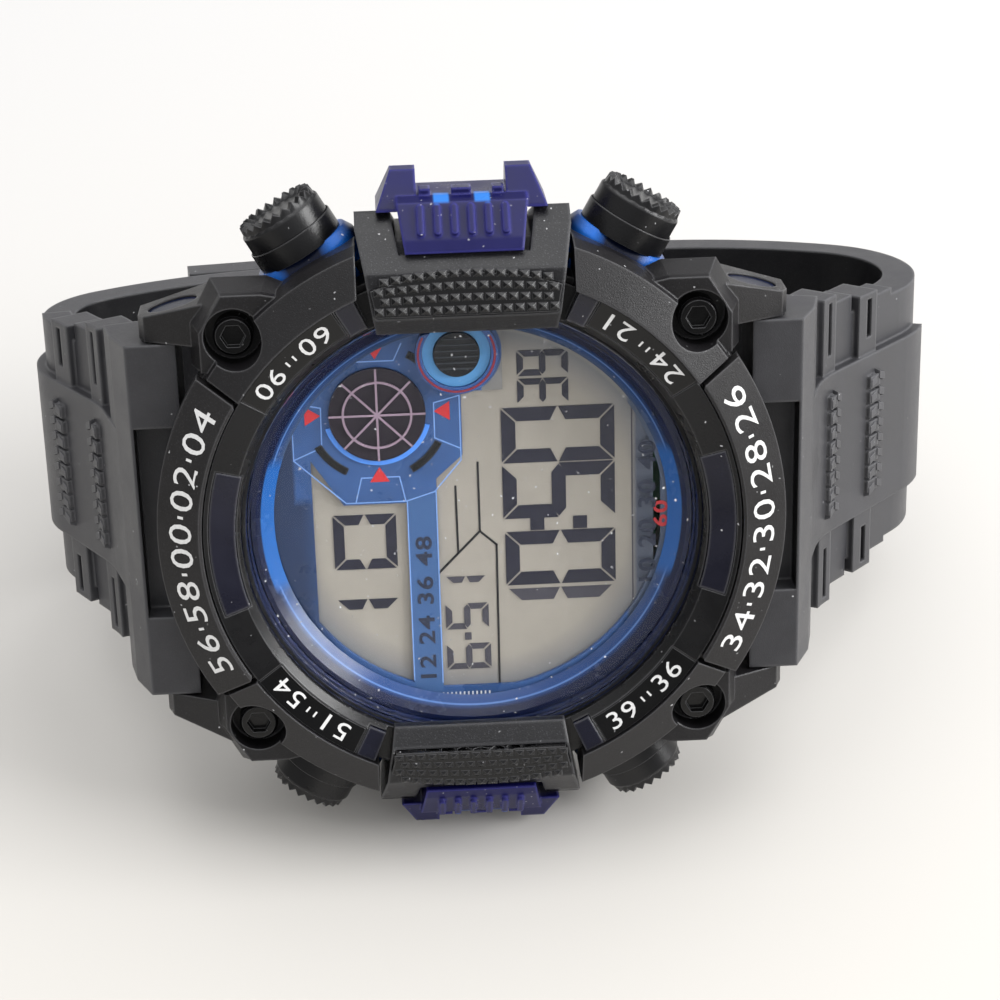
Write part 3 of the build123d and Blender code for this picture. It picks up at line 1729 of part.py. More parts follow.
# Buckle frame, prong, bar and keeper
with BuildPart() as buckle_frame:
    with BuildSketch(Plane.XZ):
        with BuildLine():
            Polyline(
                on_back(frame_eye_radius * 0.6, pivot_out - frame_eye_radius * 0.8),
                on_back(frame_eye_radius, pivot_out),
                on_back(frame_eye_radius * 0.6, pivot_out + frame_eye_radius),
                on_back(-frame_bar_place + frame_bar_half_length, frame_bar_top),
                on_back(-frame_bar_place - frame_bar_half_length, frame_bar_top),
                on_back(-frame_bar_place - frame_bar_half_length, frame_bar_low),
                on_back(-frame_eye_radius, pivot_out - frame_eye_radius * 0.8),
                close=True,
            )
        make_face()
    extrude(amount=frame_inner_half + frame_arm, both=True)
    add(
        back_solid(
            [
                (-frame_bar_place + frame_bar_half_length, -cut_over),
                (frame_eye_radius + cut_over, -cut_over),
                (frame_eye_radius + cut_over, overlap_top + cut_over),
                (-frame_bar_place + frame_bar_half_length, overlap_top + cut_over),
            ],
            frame_inner_half,
        ),
        mode=Mode.SUBTRACT,
    )
    add(
        back_solid(
            [
                (-frame_bar_place - cut_over, -cut_over),
                (0, -cut_over),
                (0, frame_bar_low),
                (-frame_bar_place - cut_over, frame_bar_low),
            ],
            frame_inner_half,
        ),
        mode=Mode.SUBTRACT,
    )
    add(side_view_hole(*on_back(0, pivot_out), buckle_bar_radius + seat_gap), mode=Mode.SUBTRACT)

with BuildPart() as buckle_bar:
    with BuildSketch(Plane.XZ):
        with Locations(on_back(0, pivot_out)):
            Circle(buckle_bar_radius)
    extrude(amount=frame_inner_half + frame_arm, both=True)

with BuildPart() as buckle_prong:
    with BuildSketch(Plane.XZ):
        with Locations(on_back(0, pivot_out)):
            Circle(prong_eye_radius)
    extrude(amount=prong_half, both=True)
    add(
        back_solid(
            [
                (-prong_eye_radius * 0.9, pivot_out),
                (-prong_knee_place - prong_thickness * 0.2, prong_knee_out - prong_thickness),
                (-prong_tip_place, frame_bar_top + seat_gap),
                (-prong_tip_place, frame_bar_top + seat_gap + prong_thickness * 0.6),
                (-prong_knee_place + prong_thickness, prong_knee_out),
                (prong_eye_radius * 0.5 - prong_thickness, pivot_out + prong_eye_radius),
                (0, pivot_out),
            ],
            prong_half,
        )
    )
    add(side_view_hole(*on_back(0, pivot_out), buckle_bar_radius + seat_gap), mode=Mode.SUBTRACT)

keeper_low = -air_gap / 2
keeper_top = overlap_top + air_gap / 2
with BuildPart() as strap_keeper:
    middle = on_back(keeper_place - keeper_width / 2, (keeper_low + keeper_top) / 2)
    with BuildSketch(
        Plane(origin=(middle[0], 0, middle[1]), x_dir=(0, 1, 0), z_dir=(back_along[0], 0, back_along[1]))
    ):
        RectangleRounded(2 * keeper_half, keeper_top - keeper_low + 2 * keeper_wall, keeper_corner)
        Rectangle(2 * (keeper_half - keeper_wall), keeper_top - keeper_low, mode=Mode.SUBTRACT)
    extrude(amount=keeper_width)

# The watch lies on the lower guard's ears and on the edge of the keeper
rest_edge = on_back(keeper_place, keeper_top + keeper_wall)[1]
lean = degrees(atan2(ear_tip_y - keeper_half, ear_tip_low - rest_edge))
stand = Rot(90 - lean, 0, 0)

finished = {
    "case_back": case_back,
    "case_back_gasket": case_back_gasket,
    "case_back_screws": case_back_screws,
    "buzzer_disc": buzzer_disc,
    "buzzer_spring": buzzer_spring,
    "inner_case": inner_case,
    "outer_shell": outer_shell,
    "corner_bolts": corner_bolts,
    "index_pad_6": index_pad_6,
    "index_pad_12": index_pad_12,
    "bezel_ring": bezel_ring,
    "label_plates": label_plates,
    "ring_tabs": ring_tabs,
    "guard_top": guard_top,
    "guard_bottom": guard_bottom,
    "grip_panel_top": grip_panel_top,
    "grip_panel_bottom": grip_panel_bottom,
    "guard_insert_top": guard_insert_top,
    "guard_insert_bottom": guard_insert_bottom,
    "crystal": crystal,
    "crystal_gasket": crystal_gasket,
    "flange_ring": flange_ring,
    "dial_mask": dial_mask,
    "subdial_disc": subdial_disc,
    "porthole_ring": porthole_ring,
    "porthole_core": porthole_core,
    "lcd_panel": lcd_panel,
    "backlight_panel": backlight_panel,
    "contact_strips": contact_strips,
    "module_frame": module_frame,
    "circuit_board": circuit_board,
    "driver_chip": driver_chip,
    "quartz_crystal": quartz_crystal,
    "board_components": board_components,
    "pusher_contacts": pusher_contacts,
    "battery": battery,
    "battery_clip": battery_clip,
    "pusher_o_rings": pusher_o_rings,
    "strap_buckle_half": strap_buckle_half,
    "strap_tail_half": strap_tail_half,
    "spring_bar_6": spring_bar_6,
    "spring_bar_12": spring_bar_12,
    "buckle_frame": buckle_frame,
    "buckle_bar": buckle_bar,
    "buckle_prong": buckle_prong,
    "strap_keeper": strap_keeper,
}
for name in pusher_angles:
    finished[f"{name}_pusher"] = pushers[name]
    finished[f"{name}_clip"] = pusher_clips[name]
    finished[f"{name}_spring"] = pusher_springs[name]

for piece in finished.values():
    piece.part = stand * piece.part
box = Compound([piece.part for piece in finished.values()]).bounding_box()
ground = Pos(-(box.min.X + box.max.X) / 2, -(box.min.Y + box.max.Y) / 2, -box.min.Z)
for name, piece in finished.items():
    piece.part = ground * piece.part
    piece.part.label = name
    export_step(piece.part, f"parts/{name}.step")
print("lean", round(lean, 3), "shift", ground.position, "size", box.size)
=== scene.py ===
"""Digital sports watch, buckled into a loop and lying on its 9 o'clock side on a pale table.

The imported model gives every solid. This file dresses each of them in a procedural finish and adds
the fine pieces that lie on them: the display's segments, the dial's print, the numerals on the
bezel, the studs of the grips, the rope rows of the strap, the pushers' caps and the dust on the
glass. Shapes are worked out in the watch's own axes, in millimetres: X from 12 to 6 o'clock, Y
from 9 to 3, Z out through the face.
"""

import logging
from dataclasses import dataclass, field
from enum import Enum
from functools import cached_property, reduce

import bmesh
import bpy
import numpy as np
from mathutils import Matrix

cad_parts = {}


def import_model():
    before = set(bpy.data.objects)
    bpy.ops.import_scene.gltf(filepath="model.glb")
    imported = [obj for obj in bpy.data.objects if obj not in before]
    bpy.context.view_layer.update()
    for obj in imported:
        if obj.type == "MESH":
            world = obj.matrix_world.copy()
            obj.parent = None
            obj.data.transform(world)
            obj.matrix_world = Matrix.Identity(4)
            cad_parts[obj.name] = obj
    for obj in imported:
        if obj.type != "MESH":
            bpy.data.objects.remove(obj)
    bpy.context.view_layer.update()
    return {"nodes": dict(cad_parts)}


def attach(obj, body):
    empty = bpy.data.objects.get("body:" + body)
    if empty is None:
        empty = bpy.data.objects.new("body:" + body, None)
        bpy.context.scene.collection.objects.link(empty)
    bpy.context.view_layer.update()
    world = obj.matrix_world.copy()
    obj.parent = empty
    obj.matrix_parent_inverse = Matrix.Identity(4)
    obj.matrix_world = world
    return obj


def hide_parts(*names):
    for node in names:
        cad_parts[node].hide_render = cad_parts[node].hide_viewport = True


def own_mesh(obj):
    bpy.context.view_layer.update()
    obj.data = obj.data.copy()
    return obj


log = logging.getLogger("watch")

Colour = tuple[float, float, float, float]
Pair = tuple[float, float]
Faces = list[tuple[int, ...]]
Shape = tuple[np.ndarray, Faces]
Rows = tuple[tuple, ...]
Socket = bpy.types.NodeSocket

# TILT lays the watch on its side, about X. LOOP_DEPTH is how far the middle of the strap's loop lies
# behind the watch's origin. The pushers stand at 60 degrees from X.
MM = 0.001
LEAN = 21.335
TILT = np.radians(90.0 - LEAN)
STAND = np.array([[1.0, 0.0, 0.0], [0.0, np.cos(TILT), -np.sin(TILT)], [0.0, np.sin(TILT), np.cos(TILT)]])
STAND_SHIFT = np.array([-2.09315, -5.50499, 22.0035])
PORTHOLE = (-0.73, 12.6)
PUSHER_HEIGHT = 7.5
PUSHER_COS, PUSHER_SIN = 0.5, 0.866
LOOP_DEPTH = 12.0


class Body(Enum):
    """Bodies that a new piece rides on."""

    WATCH = "watch"
    RESET = "reset_button"
    START = "start_button"
    LIGHT = "light_button"
    MODE = "mode_button"


PUSHER_ANGLES = {Body.RESET: 60, Body.START: 120, Body.LIGHT: -120, Body.MODE: -60}


def to_room(points: np.ndarray) -> np.ndarray:
    """Places rows of x, y, z of the watch's axes, in millimetres, in the room, in metres."""
    return (points @ STAND.T + STAND_SHIFT) * MM


def tone(red: int, green: int, blue: int) -> Colour:
    """Screen colour from 0 to 255 as the linear colour that a shader takes.

    Args:
        red: Red as it looks on a screen.
        green: Green as it looks on a screen.
        blue: Blue as it looks on a screen.

    Returns:
        Linear red, green, blue and a full alpha.
    """
    screen = np.array([red, green, blue]) / 255.0
    linear = np.where(screen <= 0.04045, screen / 12.92, ((screen + 0.055) / 1.055) ** 2.4)
    return (float(linear[0]), float(linear[1]), float(linear[2]), 1.0)


# ---- shader parts that several finishes share


class NodeBoard:
    """A node tree with short calls to add and join nodes."""

    def __init__(self, tree: bpy.types.NodeTree) -> None:
        """Keeps the tree."""
        self.tree = tree

    def feed(self, socket: Socket, value: object) -> None:
        """Gives an input a value, or a link when the value is a socket."""
        if isinstance(value, Socket):
            self.tree.links.new(value, socket)
        else:
            socket.default_value = value

    def add(self, kind: str, *values: object, operation: str = "", **inputs: object) -> bpy.types.Node:
        """Adds a node and sets its inputs.

        Args:
            kind: Blender's node type, without its first word ShaderNode.
            values: Values or sockets of the first inputs, in order.
            operation: Blender's operation name, for a node that has one.
            inputs: Values or sockets of other inputs, by name with spaces as underscores.

        Returns:
            The node.
        """
        node = self.tree.nodes.new(f"ShaderNode{kind}")
        if operation:
            node.operation = operation
        for socket, value in zip(node.inputs, values):
            self.feed(socket, value)
        for name, value in inputs.items():
            self.feed(node.inputs[name.replace("_", " ")], value)
        return node

    def math(self, operation: str, *values: object) -> Socket:
        """Adds a Math node of one or two values, and one more for each further value."""
        if len(values) == 1:
            return self.add("Math", *values, operation=operation).outputs[0]
        return reduce(lambda first, second: self.add("Math", first, second, operation=operation).outputs[0], values)

    def dot(self, vector: object, axis: object) -> Socket:
        """Adds a dot product of a vector with a socket or an axis."""
        return self.add("VectorMath", vector, axis, operation="DOT_PRODUCT").outputs["Value"]

    def mix(self, factor: object, first: object, second: object) -> Socket:
        """Mixes two colours.

        Args:
            factor: Share of the second colour.
            first: First colour or socket.
            second: Second colour or socket.

        Returns:
            The mixed colour's socket.
        """
        node = self.add("Mix")
        node.data_type = "RGBA"
        for place, value in ((0, factor), (6, first), (7, second)):
            self.feed(node.inputs[place], value)
        return node.outputs[2]

    def span(self, value: object, low: float, high: float, to_low: float = 0.0, to_high: float = 1.0) -> Socket:
        """Maps the range from low to high, clamped, to the one from to_low to to_high."""
        return self.add("MapRange", value, low, high, to_low, to_high).outputs["Result"]


class GroupBoard(NodeBoard):
    """The board of a new shader group, with its inputs, its outputs and the place in the room."""

    def __init__(self, name: str, inputs: dict[str, float], *outputs: str) -> None:
        """Makes the group, its sockets plain numbers but for an output named Normal.

        Args:
            name: The group's name.
            inputs: Input names with their usual values.
            outputs: Output names.
        """
        super().__init__(bpy.data.node_groups.new(name, "ShaderNodeTree"))
        sockets = self.tree.interface
        for label, value in inputs.items():
            sockets.new_socket(label, in_out="INPUT", socket_type="NodeSocketFloat").default_value = value
        for label in outputs:
            kind = "NodeSocketVector" if label == "Normal" else "NodeSocketFloat"
            sockets.new_socket(label, in_out="OUTPUT", socket_type=kind)
        self.given = self.tree.nodes.new("NodeGroupInput").outputs
        self.wanted = self.tree.nodes.new("NodeGroupOutput").inputs

    @cached_property
    def place(self) -> Socket:
        """The place in the room's axes."""
        return self.add("TexCoord").outputs["Object"]

    def finish(self, **outputs: Socket) -> bpy.types.NodeTree:
        """Feeds the outputs and hands the group over."""
        for label, value in outputs.items():
            self.feed(self.wanted[label], value)
        return self.tree


class Measure(Enum):
    """Measures of a place on the watch, each an output of the watch_axes group."""

    ALONG = "Along"
    ACROSS = "Across"
    OUT = "Out"
    RADIUS = "Radius"
    BESIDE = "Beside"
    HOLE = "Hole"
    FACING = "Facing"


ALONG, ACROSS, OUT, RADIUS, BESIDE, HOLE, FACING = Measure


class SharedEffects:
    """Grain, dust, brushing, softened edges and the watch's own axes, each a shader group built once."""

    def __init__(self) -> None:
        """Builds the groups."""
        self.grain = self.build_grain()
        self.dust = self.build_dust()
        self.brushing = self.build_brushing()
        self.edge = self.build_edge()
        self.axes = self.build_axes()

    def build_edge(self) -> bpy.types.NodeTree:
        """Softened moulded edges: a normal that rolls over close to an edge, and a mask of where it does, for painted
        sheen on the edges.

        The mask grows with one less the cosine between the rolled normal and the face's own.

        Returns:
            A group with Radius in millimetres in, and the mask of painted edge sheen and Normal out.
        """
        board = GroupBoard("soft_edge", {"Radius": 0.25}, "Wear", "Normal")
        rolled = board.add("Bevel", Radius=board.math("MULTIPLY", board.given["Radius"], MM))
        rolled.samples = 6
        normal = rolled.outputs["Normal"]
        match = board.dot(normal, board.add("NewGeometry").outputs["Normal"])
        return board.finish(Wear=board.span(match, 0.995, 0.86), Normal=normal)

    def build_axes(self) -> bpy.types.NodeTree:
        """Place in the watch's own axes, in millimetres, and measures worked out from it.

        Radius is the distance from Z. Beside is the distance beside the nearest pusher's axis: the place
        across by the cosine of the pushers' angle less the place along by its sine, both without their
        signs. Hole is the distance from the porthole's axis. Facing is the cosine between the face's
        normal and the way out from the middle of the strap's loop.

        Returns:
            A group with an output for each Measure.
        """
        board = GroupBoard("watch_axes", {}, *(measure.value for measure in Measure))
        moved = board.add("VectorMath", board.place, tuple(STAND_SHIFT * MM), operation="SUBTRACT").outputs[0]
        along, across, out = (board.dot(moved, tuple(axis)) for axis in STAND.T / MM)

        def length(first: Socket, second: Socket) -> Socket:
            """Length of two sides of a right angle: the root of the sum of their squares."""
            squares = [board.math("MULTIPLY", side, side) for side in (first, second)]
            return board.math("SQRT", board.math("ADD", *squares))

        near = board.math("MULTIPLY", board.math("ABSOLUTE", across), PUSHER_COS)
        far = board.math("MULTIPLY", board.math("ABSOLUTE", along), PUSHER_SIN)
        to_hole = (board.math("SUBTRACT", side, centre) for side, centre in zip((along, across), PORTHOLE))
        raised = board.math("ADD", out, LOOP_DEPTH)
        normal = board.add("TexCoord").outputs["Normal"]
        parts = [board.math("MULTIPLY", way, board.dot(normal, tuple(axis)))
                 for way, axis in ((along, STAND[:, 0]), (raised, STAND[:, 2]))]
        facing = board.math("DIVIDE", board.math("ADD", *parts), length(along, raised))
        return board.finish(Along=along, Across=across, Out=out, Radius=length(along, across),
                            Beside=board.math("SUBTRACT", near, far), Hole=length(*to_hole), Facing=facing)

    def build_grain(self) -> bpy.types.NodeTree:
        """Grain of a spark-eroded moulded skin: fine pits, slow worn patches, and spots for painted glints.

        Returns:
            A group with Size in, and Height, Patch and the spots for painted glints out.
        """
        board = GroupBoard("moulded_grain", {"Size": 0.12}, "Height", "Patch", "Spark")
        scale = board.math("DIVIDE", 1.0 / MM, board.given["Size"])
        fine = board.add("TexNoise", Vector=board.place, Scale=scale, Detail=3.0, Roughness=0.6)
        slow = board.add("TexNoise", Vector=board.place, Scale=240.0, Detail=4.0, Roughness=0.6)
        cells = board.add("TexVoronoi", Vector=board.place, Scale=board.math("MULTIPLY", scale, 0.62))
        # The spots for painted glints are the middles of the Voronoi cells.
        return board.finish(Height=fine.outputs["Fac"], Patch=slow.outputs["Fac"],
                            Spark=board.span(cells.outputs["Distance"], 0.0, 0.32, 1.0, 0.0))

    def build_dust(self) -> bpy.types.NodeTree:
        """Fine white specks of dust, thicker in patches: cells of a bent grid, each kept or not by lot.

        Returns:
            A group with Size and Amount in, and Mask out.
        """
        board = GroupBoard("dust_specks", {"Size": 0.9, "Amount": 0.5}, "Mask")
        scale = board.math("DIVIDE", 1.0 / MM, board.given["Size"])
        bent = board.add("TexNoise", Vector=board.place, Scale=2600.0, Detail=1.0).outputs["Color"]
        moved = board.add("VectorMath", bent, (0.3 * MM,) * 3, board.place, operation="MULTIPLY_ADD")
        cells = board.add("TexVoronoi", Vector=moved.outputs[0], Scale=scale)
        lot = board.add("SeparateColor", Color=cells.outputs["Color"])
        speck = board.span(cells.outputs["Distance"], 0.07, 0.14, 1.0, 0.0)
        kept = board.math("LESS_THAN", lot.outputs[0], board.given["Amount"])
        cloud = board.add("TexNoise", Vector=board.place, Scale=150.0, Detail=2.0)
        thick = board.span(cloud.outputs["Fac"], 0.42, 0.6, 0.25, 1.0)
        return board.finish(Mask=board.math("MULTIPLY", speck, kept, thick))

    def build_brushing(self) -> bpy.types.NodeTree:
        """Fine brush lines along the watch's X axis.

        Returns:
            A group with Lines in, and Height out.
        """
        board = GroupBoard("brush_lines", {"Lines": 1.0}, "Height")
        stretch = board.add("Mapping", Vector=board.place, Scale=(180.0, 9000.0, 9000.0))
        lines = board.add("TexNoise", Vector=stretch.outputs[0], Scale=board.given["Lines"], Detail=2.0)
        return board.finish(Height=lines.outputs["Fac"])


# ---- finishes

# Pale tone of painted glints; tone and share of the specks of dust.
GLINT_TONE, SPECK_TONE, SPECK_SHARE = tone(150, 150, 158), tone(205, 205, 208), 0.75
RESIN_IOR, COAT_ROUGHNESS, RESIN_PITS, BRUSH_PITS = 1.48, 0.12, 0.04 * MM, 0.02 * MM
STEP = 0.0001


class Bench(NodeBoard):
    """The board of a new material with one Principled shader, on which a finish is laid."""

    def __init__(self, name: str, colour: Colour, effects: SharedEffects) -> None:
        """Makes the material.

        Args:
            name: The material's name.
            colour: Its plain colour.
            effects: The shared groups.
        """
        self.material = bpy.data.materials.new(name)
        self.material.use_nodes = True
        self.material.diffuse_color = colour
        super().__init__(self.material.node_tree)
        self.shader = self.tree.nodes["Principled BSDF"]
        self.effects = effects
        self.shade(Base_Color=colour)

    def grouped(self, group: bpy.types.NodeTree, **inputs: float) -> bpy.types.NodeOutputs:
        """Places a shared group, with these inputs, and gives its outputs."""
        node = self.add("Group")
        node.node_tree = group
        for label, value in inputs.items():
            node.inputs[label].default_value = value
        return node.outputs

    def shade(self, **inputs: object) -> None:
        """Feeds the shader's inputs, by name with spaces as underscores."""
        for label, value in inputs.items():
            self.feed(self.shader.inputs[label.replace("_", " ")], value)


@dataclass(frozen=True)
class Span:
    """How much a place counts: nothing at one value of a measure, a share at another, evenly between.

    The measure is first replaced by its distance from each value of about, one after the other.
    """

    measure: Measure
    none: float
    full: float
    share: float = 1.0
    about: tuple[float, ...] = ()


@dataclass(frozen=True)
class Zone:
    """A colour where all the spans of one of its cases hold."""

    colour: Colour
    cases: tuple[tuple[Span, ...], ...]

    def mask(self, bench: Bench, axes: bpy.types.NodeOutputs) -> Socket:
        """Multiplies the spans of each case and takes the largest case.

        Args:
            bench: The material's board.
            axes: Outputs of the watch_axes group.

        Returns:
            The mask's socket.
        """
        masks = []
        for case in self.cases:
            parts = []
            for span in case:
                value = axes[span.measure.value]
                for about in span.about:
                    value = bench.math("ABSOLUTE", bench.math("SUBTRACT", value, about))
                parts.append(bench.span(value, span.none, span.full, 0.0, span.share))
            masks.append(reduce(lambda first, second: bench.math("MULTIPLY", first, second), parts))
        return reduce(lambda first, second: bench.math("MAXIMUM", first, second), masks)


def zone(colour: Colour, *cases: tuple[Span, ...]) -> Zone:
    """Short way to write a zone and its cases."""
    return Zone(colour, cases)


@dataclass(frozen=True)
class Finish:
    """What every finish has: a name and a colour."""

    name: str
    colour: Colour

    def times(self, share: float) -> Colour:
        """The finish's colour, that much brighter or darker."""
        return tuple(min(1.0, channel * share) for channel in self.colour[:3]) + (1.0,)

    def build(self, effects: SharedEffects) -> bpy.types.Material:
        """Builds the material.

        Args:
            effects: The shared groups.

        Returns:
            The material.
        """
        bench = Bench(self.name, self.colour, effects)
        self.lay(bench)
        return bench.material

    def lay(self, bench: Bench) -> None:
        """Lays the finish on a new material."""
        raise NotImplementedError


@dataclass(frozen=True)
class Resin(Finish):
    """Moulded resin or rubber: satin or glossy, grained, with a little dust in the pits."""

    roughness: float = 0.5
    grain: float = 0.14
    depth: float = 0.35
    # Share of painted glints: pale spots in the colour.
    glint: float = 0.0
    dust: float = 0.12
    coat: float = 0.0
    clearness: float = 0.0
    lift: float = 1.35
    shine: float = 0.4
    edge: float = 0.22
    # Share and tone of painted sheen on the softened edges.
    edge_sheen: float = 0.35
    edge_sheen_tone: Colour = (0.19, 0.19, 0.2, 1.0)
    zones: tuple[Zone, ...] = ()

    def lay(self, bench: Bench) -> None:
        """Lays two shades in slow patches, then the zones, painted glints, painted sheen on the edges, and dust."""
        grain = bench.grouped(bench.effects.grain, Size=self.grain)
        specks = bench.grouped(bench.effects.dust, Size=0.62, Amount=self.dust)
        body = bench.mix(bench.span(grain["Patch"], 0.35, 0.7), self.colour, self.times(self.lift))
        if self.zones:
            axes = bench.grouped(bench.effects.axes)
            for part in self.zones:
                body = bench.mix(part.mask(bench, axes), body, part.colour)
        # Painted glints: pale spots mixed into the colour.
        body = bench.mix(bench.math("MULTIPLY", grain["Spark"], self.glint), body, GLINT_TONE)
        bump = bench.add("Bump", Height=grain["Height"], Strength=self.depth, Distance=RESIN_PITS)
        if self.edge > 0:
            edge = bench.grouped(bench.effects.edge, Radius=self.edge)
            # Painted sheen: the softened edges made paler.
            body = bench.mix(bench.math("MULTIPLY", edge["Wear"], self.edge_sheen), body, self.edge_sheen_tone)
            bench.feed(bump.inputs["Normal"], edge["Normal"])
        body = bench.mix(bench.math("MULTIPLY", specks["Mask"], SPECK_SHARE), body, SPECK_TONE)
        rough = bench.span(grain["Patch"], 0.3, 0.7, self.roughness - 0.07, self.roughness + 0.09)
        bench.shade(Base_Color=body, Roughness=rough, Normal=bump.outputs["Normal"], Coat_Weight=self.coat,
                    Coat_Roughness=COAT_ROUGHNESS, IOR=RESIN_IOR, Specular_IOR_Level=self.shine,
                    Transmission_Weight=self.clearness)


@dataclass(frozen=True)
class Steel(Finish):
    """Brushed or plated metal."""

    roughness: float = 0.3
    lines: float = 1.0
    depth: float = 0.2

    def lay(self, bench: Bench) -> None:
        """Lays two shades in patches, and brush lines in the roughness and the bump."""
        brush = bench.grouped(bench.effects.brushing, Lines=self.lines)["Height"]
        grain = bench.grouped(bench.effects.grain, Size=0.3)
        body = bench.mix(bench.span(grain["Patch"], 0.35, 0.65), self.colour, self.times(0.8))
        rough = bench.span(brush, 0.3, 0.7, self.roughness * 0.75, self.roughness * 1.25)
        bump = bench.add("Bump", Height=brush, Strength=self.depth, Distance=BRUSH_PITS)
        bench.shade(Base_Color=body, Roughness=rough, Metallic=1.0, Normal=bump.outputs["Normal"])


@dataclass(frozen=True)
class Glass(Finish):
    """Mineral glass with a faint smear, clear for the light that falls through it."""

    ior: float = 1.16

    def lay(self, bench: Bench) -> None:
        """Lays clear glass, and plain transparency for shadow rays."""
        grain = bench.grouped(bench.effects.grain, Size=0.6)
        bench.shade(Transmission_Weight=1.0, IOR=self.ior, Roughness=bench.span(grain["Patch"], 0.4, 0.75, 0.0, 0.05))
        clear = bench.add("BsdfTransparent", Color=self.colour)
        shadow = bench.add("LightPath").outputs["Is Shadow Ray"]
        blend = bench.add("MixShader", shadow, bench.shader.outputs["BSDF"], clear.outputs["BSDF"])
        bench.feed(bench.tree.nodes["Material Output"].inputs["Surface"], blend.outputs["Shader"])


@dataclass(frozen=True)
class Ink(Finish):
    """Printed ink or a display segment: flat colour with a slight unevenness."""

    roughness: float = 0.45
    uneven: float = 0.12

    def lay(self, bench: Bench) -> None:
        """Lays two close shades in fine grain."""
        grain = bench.grouped(bench.effects.grain, Size=0.2)
        body = bench.mix(bench.span(grain["Height"], 0.35, 0.65), self.colour, self.times(1 - self.uneven))
        bench.shade(Base_Color=body, Roughness=self.roughness)


@dataclass(frozen=True)
class DustFilm(Finish):
    """Loose specks on the glass, clear between them."""

    size: float = 0.8
    amount: float = 0.5

    def lay(self, bench: Bench) -> None:
        """Lays the specks as the film's alpha."""
        specks = bench.grouped(bench.effects.dust, Size=self.size, Amount=self.amount)
        bench.shade(Alpha=bench.math("MULTIPLY", specks["Mask"], 0.8), Roughness=0.8)


# Zones of the finishes that change over the watch: painted light in windows, glows and on one side, prints, and painted
# shade on rims and on the strap's inner faces.
# Flange: painted shade darkens it towards its outer rim, painted light makes the 9 o'clock side, which lies lowest, a
# deeper blue, a thin pale line runs at radius 15.18, and painted light windows sit at 12 and 6 o'clock.
FLANGE_ZONES = (
    zone(tone(36, 64, 110), (Span(RADIUS, 14.6, 15.1),)),
    zone(tone(26, 62, 118), (Span(ACROSS, -4.0, -13.0, 0.75),)),
    zone(tone(14, 22, 50), (Span(RADIUS, 15.2, 15.5),)),
    zone(tone(92, 128, 182), (Span(RADIUS, 0.07, 0.03, 0.8, (15.18,)),)),
    zone(tone(36, 90, 156), (Span(ACROSS, 5.4, 4.4, about=(0.0,)), Span(ALONG, 13.0, 13.0 + STEP, about=(0.0,)),
                             Span(RADIUS, 15.6, 15.5))),
)
# Painted glows: bright blue spots on the inner case's collars, beside each pusher.
COLLAR_ZONES = (
    zone(tone(24, 96, 186), (Span(BESIDE, 1.3, 0.3, about=(0.0, 2.6)), Span(RADIUS, 19.5, 20.5))),
)
# Painted light windows: two bright blue spots high on each guard insert.
INSERT_ZONES = (
    zone(tone(40, 112, 196), (Span(ALONG, 0.62, 0.47, about=(0.0, 1.45)), Span(ACROSS, 23.9, 24.05, about=(0.0,)),
                              Span(OUT, 9.8, 10.2))),
)
# Painted shade: the strap's faces that turn in towards the middle of its loop go near black.
STRAP_ZONES = (zone(tone(15, 15, 18), (Span(FACING, -0.3, -0.6),)),)
MASK_ZONES = (
    zone(tone(26, 38, 62), (Span(ALONG, -12.8, -13.1, 0.85),),
         (Span(ACROSS, 1.9, 1.2), Span(ALONG, -9.6, -12.6, 0.85))),
    zone(tone(58, 90, 134), (Span(ALONG, -4.75, -4.65), Span(ALONG, -2.5, -2.6), Span(ACROSS, 1.9, 1.2))),
    zone(tone(126, 124, 120), (Span(HOLE, 3.25, 3.35), Span(ALONG, 1.0, 1.1), Span(ACROSS, 8.1, 8.2))),
    zone(tone(70, 82, 102), (Span(ALONG, 11.5, 11.8),)),
)
# Display: painted shade darkens it towards its rim; a grey-blue strip lies at its 6 o'clock end.
DISPLAY_ZONES = (zone(tone(66, 78, 98), (Span(RADIUS, 12.0, 15.4, 0.8),), (Span(ALONG, 11.9, 12.4, 0.85),)),)


